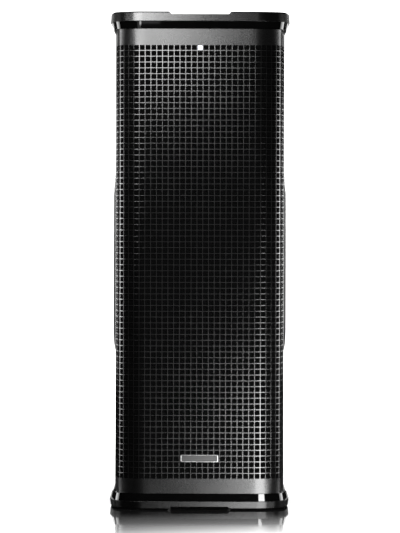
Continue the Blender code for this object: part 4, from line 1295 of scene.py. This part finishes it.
def floor_finish():
    """Pale floor, polished in front of the object and matt further out."""
    t = Tree("studio_floor")
    wide = t.noise(3.0, 2.0)
    t.link(t.ramp(wide, [(0.3, grey(0.86)), (0.7, grey(0.90))]), t.shader.inputs["Base Color"])
    t.shader.inputs["Roughness"].default_value = 0.6
    t.shader.inputs["Specular IOR Level"].default_value = 0.0
    t.shader.inputs["Emission Color"].default_value = (1, 1, 1, 1)
    away = t.add("ShaderNodeVectorMath", operation="LENGTH")
    t.link(t.place, away.inputs[0])
    far = t.add("ShaderNodeMapRange", interpolation_type="SMOOTHSTEP")
    far.inputs["From Min"].default_value = 0.7
    far.inputs["From Max"].default_value = 2.6
    far.inputs["To Max"].default_value = 1.1
    t.link(away.outputs["Value"], far.inputs["Value"])
    t.link(far.outputs["Result"], t.shader.inputs["Emission Strength"])
    mirror = t.add("ShaderNodeBsdfGlossy")
    mirror.inputs["Roughness"].default_value = 0.05
    mirror.inputs["Color"].default_value = (0.64, 0.64, 0.64, 1)
    facing = t.add("ShaderNodeLayerWeight")
    facing.inputs["Blend"].default_value = 0.5
    gloss = t.ramp(facing.outputs["Facing"], [(0.80, grey(0.0)), (0.87, grey(0.80)), (0.897, grey(0.997))])
    split = t.add("ShaderNodeSeparateXYZ")
    t.link(t.place, split.inputs["Vector"])
    near = t.add("ShaderNodeMapRange")
    near.inputs["From Min"].default_value = -1.04
    near.inputs["From Max"].default_value = -0.237
    t.link(split.outputs["Y"], near.inputs["Value"])
    worn = t.ramp(near.outputs["Result"], [(0.2, grey(1.0)), (0.53, grey(0.327)), (0.70, grey(0.112)), (0.92, grey(0.013)), (0.975, grey(0.0))])
    slant = t.add("ShaderNodeMapRange")
    slant.inputs["From Min"].default_value = -0.16
    slant.inputs["From Max"].default_value = 0.14
    slant.inputs["To Min"].default_value = 0.67
    slant.inputs["To Max"].default_value = 1.45
    t.link(split.outputs["X"], slant.inputs["Value"])
    polish = t.math("SUBTRACT", 1.0, t.math("MULTIPLY", worn, slant.outputs["Result"]))
    across = t.add("ShaderNodeMapRange")
    across.inputs["From Min"].default_value = 0.34
    across.inputs["From Max"].default_value = 0.22
    t.link(t.math("ABSOLUTE", split.outputs["X"], 0.0), across.inputs["Value"])
    behind = t.add("ShaderNodeMapRange")
    behind.inputs["From Min"].default_value = 0.10
    behind.inputs["From Max"].default_value = -0.10
    t.link(split.outputs["Y"], behind.inputs["Value"])
    patch = t.math("MULTIPLY", across.outputs["Result"], behind.outputs["Result"])
    both = t.math("MULTIPLY", gloss, t.math("MULTIPLY", polish, patch))
    mix = t.add("ShaderNodeMixShader")
    t.link(both, mix.inputs["Fac"])
    t.link(t.shader.outputs["BSDF"], mix.inputs[1])
    t.link(mirror.outputs["BSDF"], mix.inputs[2])
    t.link(mix.outputs["Shader"], t.tree.nodes["Material Output"].inputs["Surface"])
    return t.material


def card_finish():
    t = Tree("studio_card")
    wide = t.noise(0.6, 2.0)
    t.link(t.ramp(wide, [(0.3, grey(0.97)), (0.7, grey(1.0))]), t.shader.inputs["Emission Color"])
    t.shader.inputs["Emission Strength"].default_value = 1.72
    t.shader.inputs["Roughness"].default_value = 0.9
    return t.material


bm = bmesh.new()
bmesh.ops.create_grid(bm, x_segments=2, y_segments=2, size=1.0)
for vertex in bm.verts:
    vertex.co = Vector((vertex.co.x * 12.0, vertex.co.y * 12.0, 0.0))
floor_mesh = bpy.data.meshes.new("studio_floor")
bm.to_mesh(floor_mesh)
bm.free()
floor_mesh.materials.append(floor_finish())
floor = bpy.data.objects.new("studio_floor", floor_mesh)
bpy.context.scene.collection.objects.link(floor)
floor.visible_shadow = False
floor.visible_glossy = False
floor.visible_diffuse = False

bm = bmesh.new()
bmesh.ops.create_grid(bm, x_segments=8, y_segments=8, size=1.0)
for vertex in bm.verts:
    vertex.co = Vector((vertex.co.x * 2.4, 10.4, 1.0 + vertex.co.y))
card_mesh = bpy.data.meshes.new("studio_card")
bm.to_mesh(card_mesh)
bm.free()
card_mesh.materials.append(card_finish())
card = bpy.data.objects.new("studio_card", card_mesh)
bpy.context.scene.collection.objects.link(card)
card.visible_diffuse = False

scene = bpy.context.scene
world = bpy.data.worlds.new("studio")
scene.world = world
world.use_nodes = True
wt = world.node_tree
for node in list(wt.nodes):
    wt.nodes.remove(node)
out = wt.nodes.new("ShaderNodeOutputWorld")
seen = wt.nodes.new("ShaderNodeBackground")
seen.inputs["Color"].default_value = (1, 1, 1, 1)
seen.inputs["Strength"].default_value = 1.05
lit = wt.nodes.new("ShaderNodeBackground")
lit.inputs["Color"].default_value = (1, 1, 1, 1)
lit.inputs["Strength"].default_value = 0.006
path = wt.nodes.new("ShaderNodeLightPath")
mix = wt.nodes.new("ShaderNodeMixShader")
wt.links.new(path.outputs["Is Camera Ray"], mix.inputs["Fac"])
wt.links.new(lit.outputs["Background"], mix.inputs[1])
wt.links.new(seen.outputs["Background"], mix.inputs[2])
wt.links.new(mix.outputs["Shader"], out.inputs["Surface"])


def softbox(name, at, aim, size, watts, spread=180.0, colour=(1, 1, 1)):
    data = bpy.data.lights.new(name, "AREA")
    data.shape = "RECTANGLE"
    data.size, data.size_y = size
    data.energy = watts
    data.color = colour
    data.spread = math.radians(spread)
    obj = bpy.data.objects.new(name, data)
    obj.location = at
    obj.rotation_euler = (Vector(aim) - Vector(at)).to_track_quat("-Z", "Y").to_euler()
    obj.visible_camera = False
    scene.collection.objects.link(obj)
    return obj


upper_left = softbox("upper_left_box", (-0.456, -1.05, 1.2078), (-0.456, -0.175, 1.2078), (0.924, 0.553), 26.2)
cap_light = softbox("top_cap_box", (-0.545, -1.05, 1.227), (-0.545, -0.175, 1.227), (0.93, 0.24), 22.0)
rear_lights = [
    softbox("rear_left_box", (-1.5, 2.1, 1.3), (0.0, 0.17, 0.55), (1.0, 1.4), 45.0),
    softbox("rear_right_box", (1.5, 2.1, 1.3), (0.0, 0.17, 0.55), (1.0, 1.4), 60.0),
]
base_light = softbox("bottom_cap_box", (0.56, -1.05, -0.24), (0.56, -0.175, -0.24), (0.985, 0.34), 13.0)
lower_right = softbox("lower_right_box", (0.594, -1.05, -0.095), (0.594, -0.175, -0.095), (0.912, 0.642), 35.9)
softbox("overhead", (0.0, 0.6, 2.9), (0.0, 0.2, 0.0), (2.4, 2.0), 30.0)
rim_lights = [
    softbox("left_rim", (-1.62, 0.74, 0.59), (-0.15, -0.05, 0.59), (0.60, 1.29), 11.5),
    softbox("right_rim", (1.62, 0.74, 0.59), (0.15, -0.05, 0.59), (0.60, 1.29), 11.5),
]
cap_side_lights = [
    softbox("cap_left_box", (-1.76, 0.10, 0.52), (-0.16, -0.10, 0.52), (0.95, 1.5), 5.0),
    softbox("cap_right_box", (1.76, 0.10, 0.52), (0.16, -0.10, 0.52), (0.95, 1.5), 4.4),
    softbox("cap_left_back", (-1.55, 1.35, 0.52), (-0.18, -0.05, 0.52), (1.4, 1.5), 3.2),
    softbox("cap_right_back", (1.55, 1.35, 0.52), (0.18, -0.05, 0.52), (1.4, 1.5), 3.2),
]
side_lights = [
    softbox("left_side_box", (-1.76, 0.10, 0.63), (-0.16, -0.14, 0.63), (0.85, 1.15), 6.4),
    softbox("right_side_box", (1.76, 0.10, 0.57), (0.16, -0.14, 0.57), (0.85, 1.10), 5.0),
]
wing_lights = [
    softbox("wing_left_back", (-0.66, 1.9, 0.55), (-0.175, -0.1, 0.55), (0.45, 0.75), 1.2),
    softbox("wing_right_back", (0.66, 1.9, 0.55), (0.175, -0.1, 0.55), (0.45, 0.75), 1.2),
    softbox("wing_left_mid", (-1.70, 0.35, 0.55), (-0.17, -0.12, 0.55), (0.9, 0.66), 11.5),
    softbox("wing_right_mid", (1.70, 0.35, 0.55), (0.17, -0.12, 0.55), (0.9, 0.66), 10.5),
]
trim_lights = [
    softbox("trim_right_box", (0.60, -1.05, 0.36), (0.60, -0.175, 0.36), (0.60, 0.30), 10.6),
    softbox("trim_left_box", (-0.34, -1.05, 0.625), (-0.34, -0.175, 0.625), (0.14, 0.20), 0.7),
    softbox("trim_left_glow", (-0.355, -1.05, 0.625), (-0.355, -0.175, 0.625), (0.51, 0.20), 0.2),
    softbox("trim_left_end", (-1.79, 0.33, 0.5), (-0.17, -0.05, 0.5), (0.30, 1.2), 2.9),
    softbox("trim_right_end", (1.79, 0.33, 0.5), (0.17, -0.05, 0.5), (0.30, 1.2), 3.1),
]
floor_light = softbox("floor_wash", (0.0, 1.0, 4.0), (0.0, 1.0, 0.0), (12.0, 12.0), 1150.0)

# the floor has its own wash, and the boxes round the object leave it alone
off_floor = bpy.data.collections.new("off_floor")
off_floor.objects.link(floor)
off_floor.collection_objects[0].light_linking.link_state = "EXCLUDE"
only_floor = bpy.data.collections.new("only_floor")
only_floor.objects.link(floor)
for lamp in [o for o in scene.objects if o.type == "LIGHT"]:
    lamp.light_linking.receiver_collection = only_floor if lamp == floor_light else off_floor

# the gloss trim rings have two small boxes of their own; the side boxes leave the rings and caps dark
trim_rings = [bpy.data.objects["top_ring_gloss"], bpy.data.objects["bottom_ring_gloss"]]
only_trim = bpy.data.collections.new("only_trim")
off_trim = bpy.data.collections.new("off_trim")
off_trim.objects.link(floor)
for ring in trim_rings:
    only_trim.objects.link(ring)
for unlit in trim_rings + [bpy.data.objects["top_cap_moulding"], bpy.data.objects["bottom_cap_moulding"]]:
    off_trim.objects.link(unlit)
for member in off_trim.collection_objects:
    member.light_linking.link_state = "EXCLUDE"
for lamp in side_lights:
    lamp.light_linking.receiver_collection = off_trim

# the caps take a weak light of their own from each side
caps = [bpy.data.objects["top_cap_moulding"], bpy.data.objects["bottom_cap_moulding"]]
only_caps = bpy.data.collections.new("only_caps")
off_caps = bpy.data.collections.new("off_caps")
off_caps.objects.link(floor)
for cap in caps:
    only_caps.objects.link(cap)
    off_caps.objects.link(cap)
for side in ("left", "right"):
    off_caps.objects.link(bpy.data.objects[side + "_handle_shell"])
for member in off_caps.collection_objects:
    member.light_linking.link_state = "EXCLUDE"
for lamp in cap_side_lights:
    lamp.light_linking.receiver_collection = only_caps
for lamp in rim_lights:
    lamp.light_linking.receiver_collection = off_caps

# the grille's wings are brightest at mid height
only_grille = bpy.data.collections.new("only_grille")
only_grille.objects.link(bpy.data.objects["front_grille_sheet"])
for lamp in wing_lights:
    lamp.light_linking.receiver_collection = only_grille

# the boxes behind light the back and the sides only
off_front = bpy.data.collections.new("off_front")
for unlit in [floor, bpy.data.objects["front_grille_sheet"]] + list(off_trim.objects):
    if unlit.name not in off_front.objects:
        off_front.objects.link(unlit)
for member in off_front.collection_objects:
    member.light_linking.link_state = "EXCLUDE"
for lamp in rear_lights:
    lamp.light_linking.receiver_collection = off_front

# each cap's face has a box of its own
for cap, box, wide in ((caps[0], cap_light, upper_left), (caps[1], base_light, lower_right)):
    only_cap = bpy.data.collections.new("only_" + cap.name)
    only_cap.objects.link(cap)
    box.light_linking.receiver_collection = only_cap
    off_cap = bpy.data.collections.new("off_" + cap.name)
    off_cap.objects.link(floor)
    off_cap.objects.link(cap)
    for member in off_cap.collection_objects:
        member.light_linking.link_state = "EXCLUDE"
    wide.light_linking.receiver_collection = off_cap
for lamp in trim_lights:
    lamp.light_linking.receiver_collection = only_trim

glow = bpy.data.lights.new("power_glow", "POINT")
glow.energy = 0.0025
glow.color = (0.72, 0.78, 1.0)
glow.shadow_soft_size = 0.003
glow_at = bpy.data.objects.new("power_glow", glow)
glow_at.location = (0, -0.184, LIGHT_Z * MM)
scene.collection.objects.link(glow_at)

camera_data = bpy.data.cameras.new("photo_view")
camera = bpy.data.objects.new("photo_view", camera_data)
scene.collection.objects.link(camera)
CAMERA_OFF, CAMERA_Z = 7.0, 0.636
camera.location = (0.0002, FRONT_Y * MM - CAMERA_OFF, CAMERA_Z)
camera.rotation_euler = (math.pi / 2 - math.atan2(CAMERA_Z - 0.5111, CAMERA_OFF), -0.0023, 0.0)
camera_data.sensor_width = 36.0
camera_data.sensor_fit = "AUTO"
camera_data.lens = 36.0 * CAMERA_OFF / (533 * 0.002097)
camera_data.clip_end = 100.0
scene.camera = camera
scene.view_settings.view_transform = "Standard"
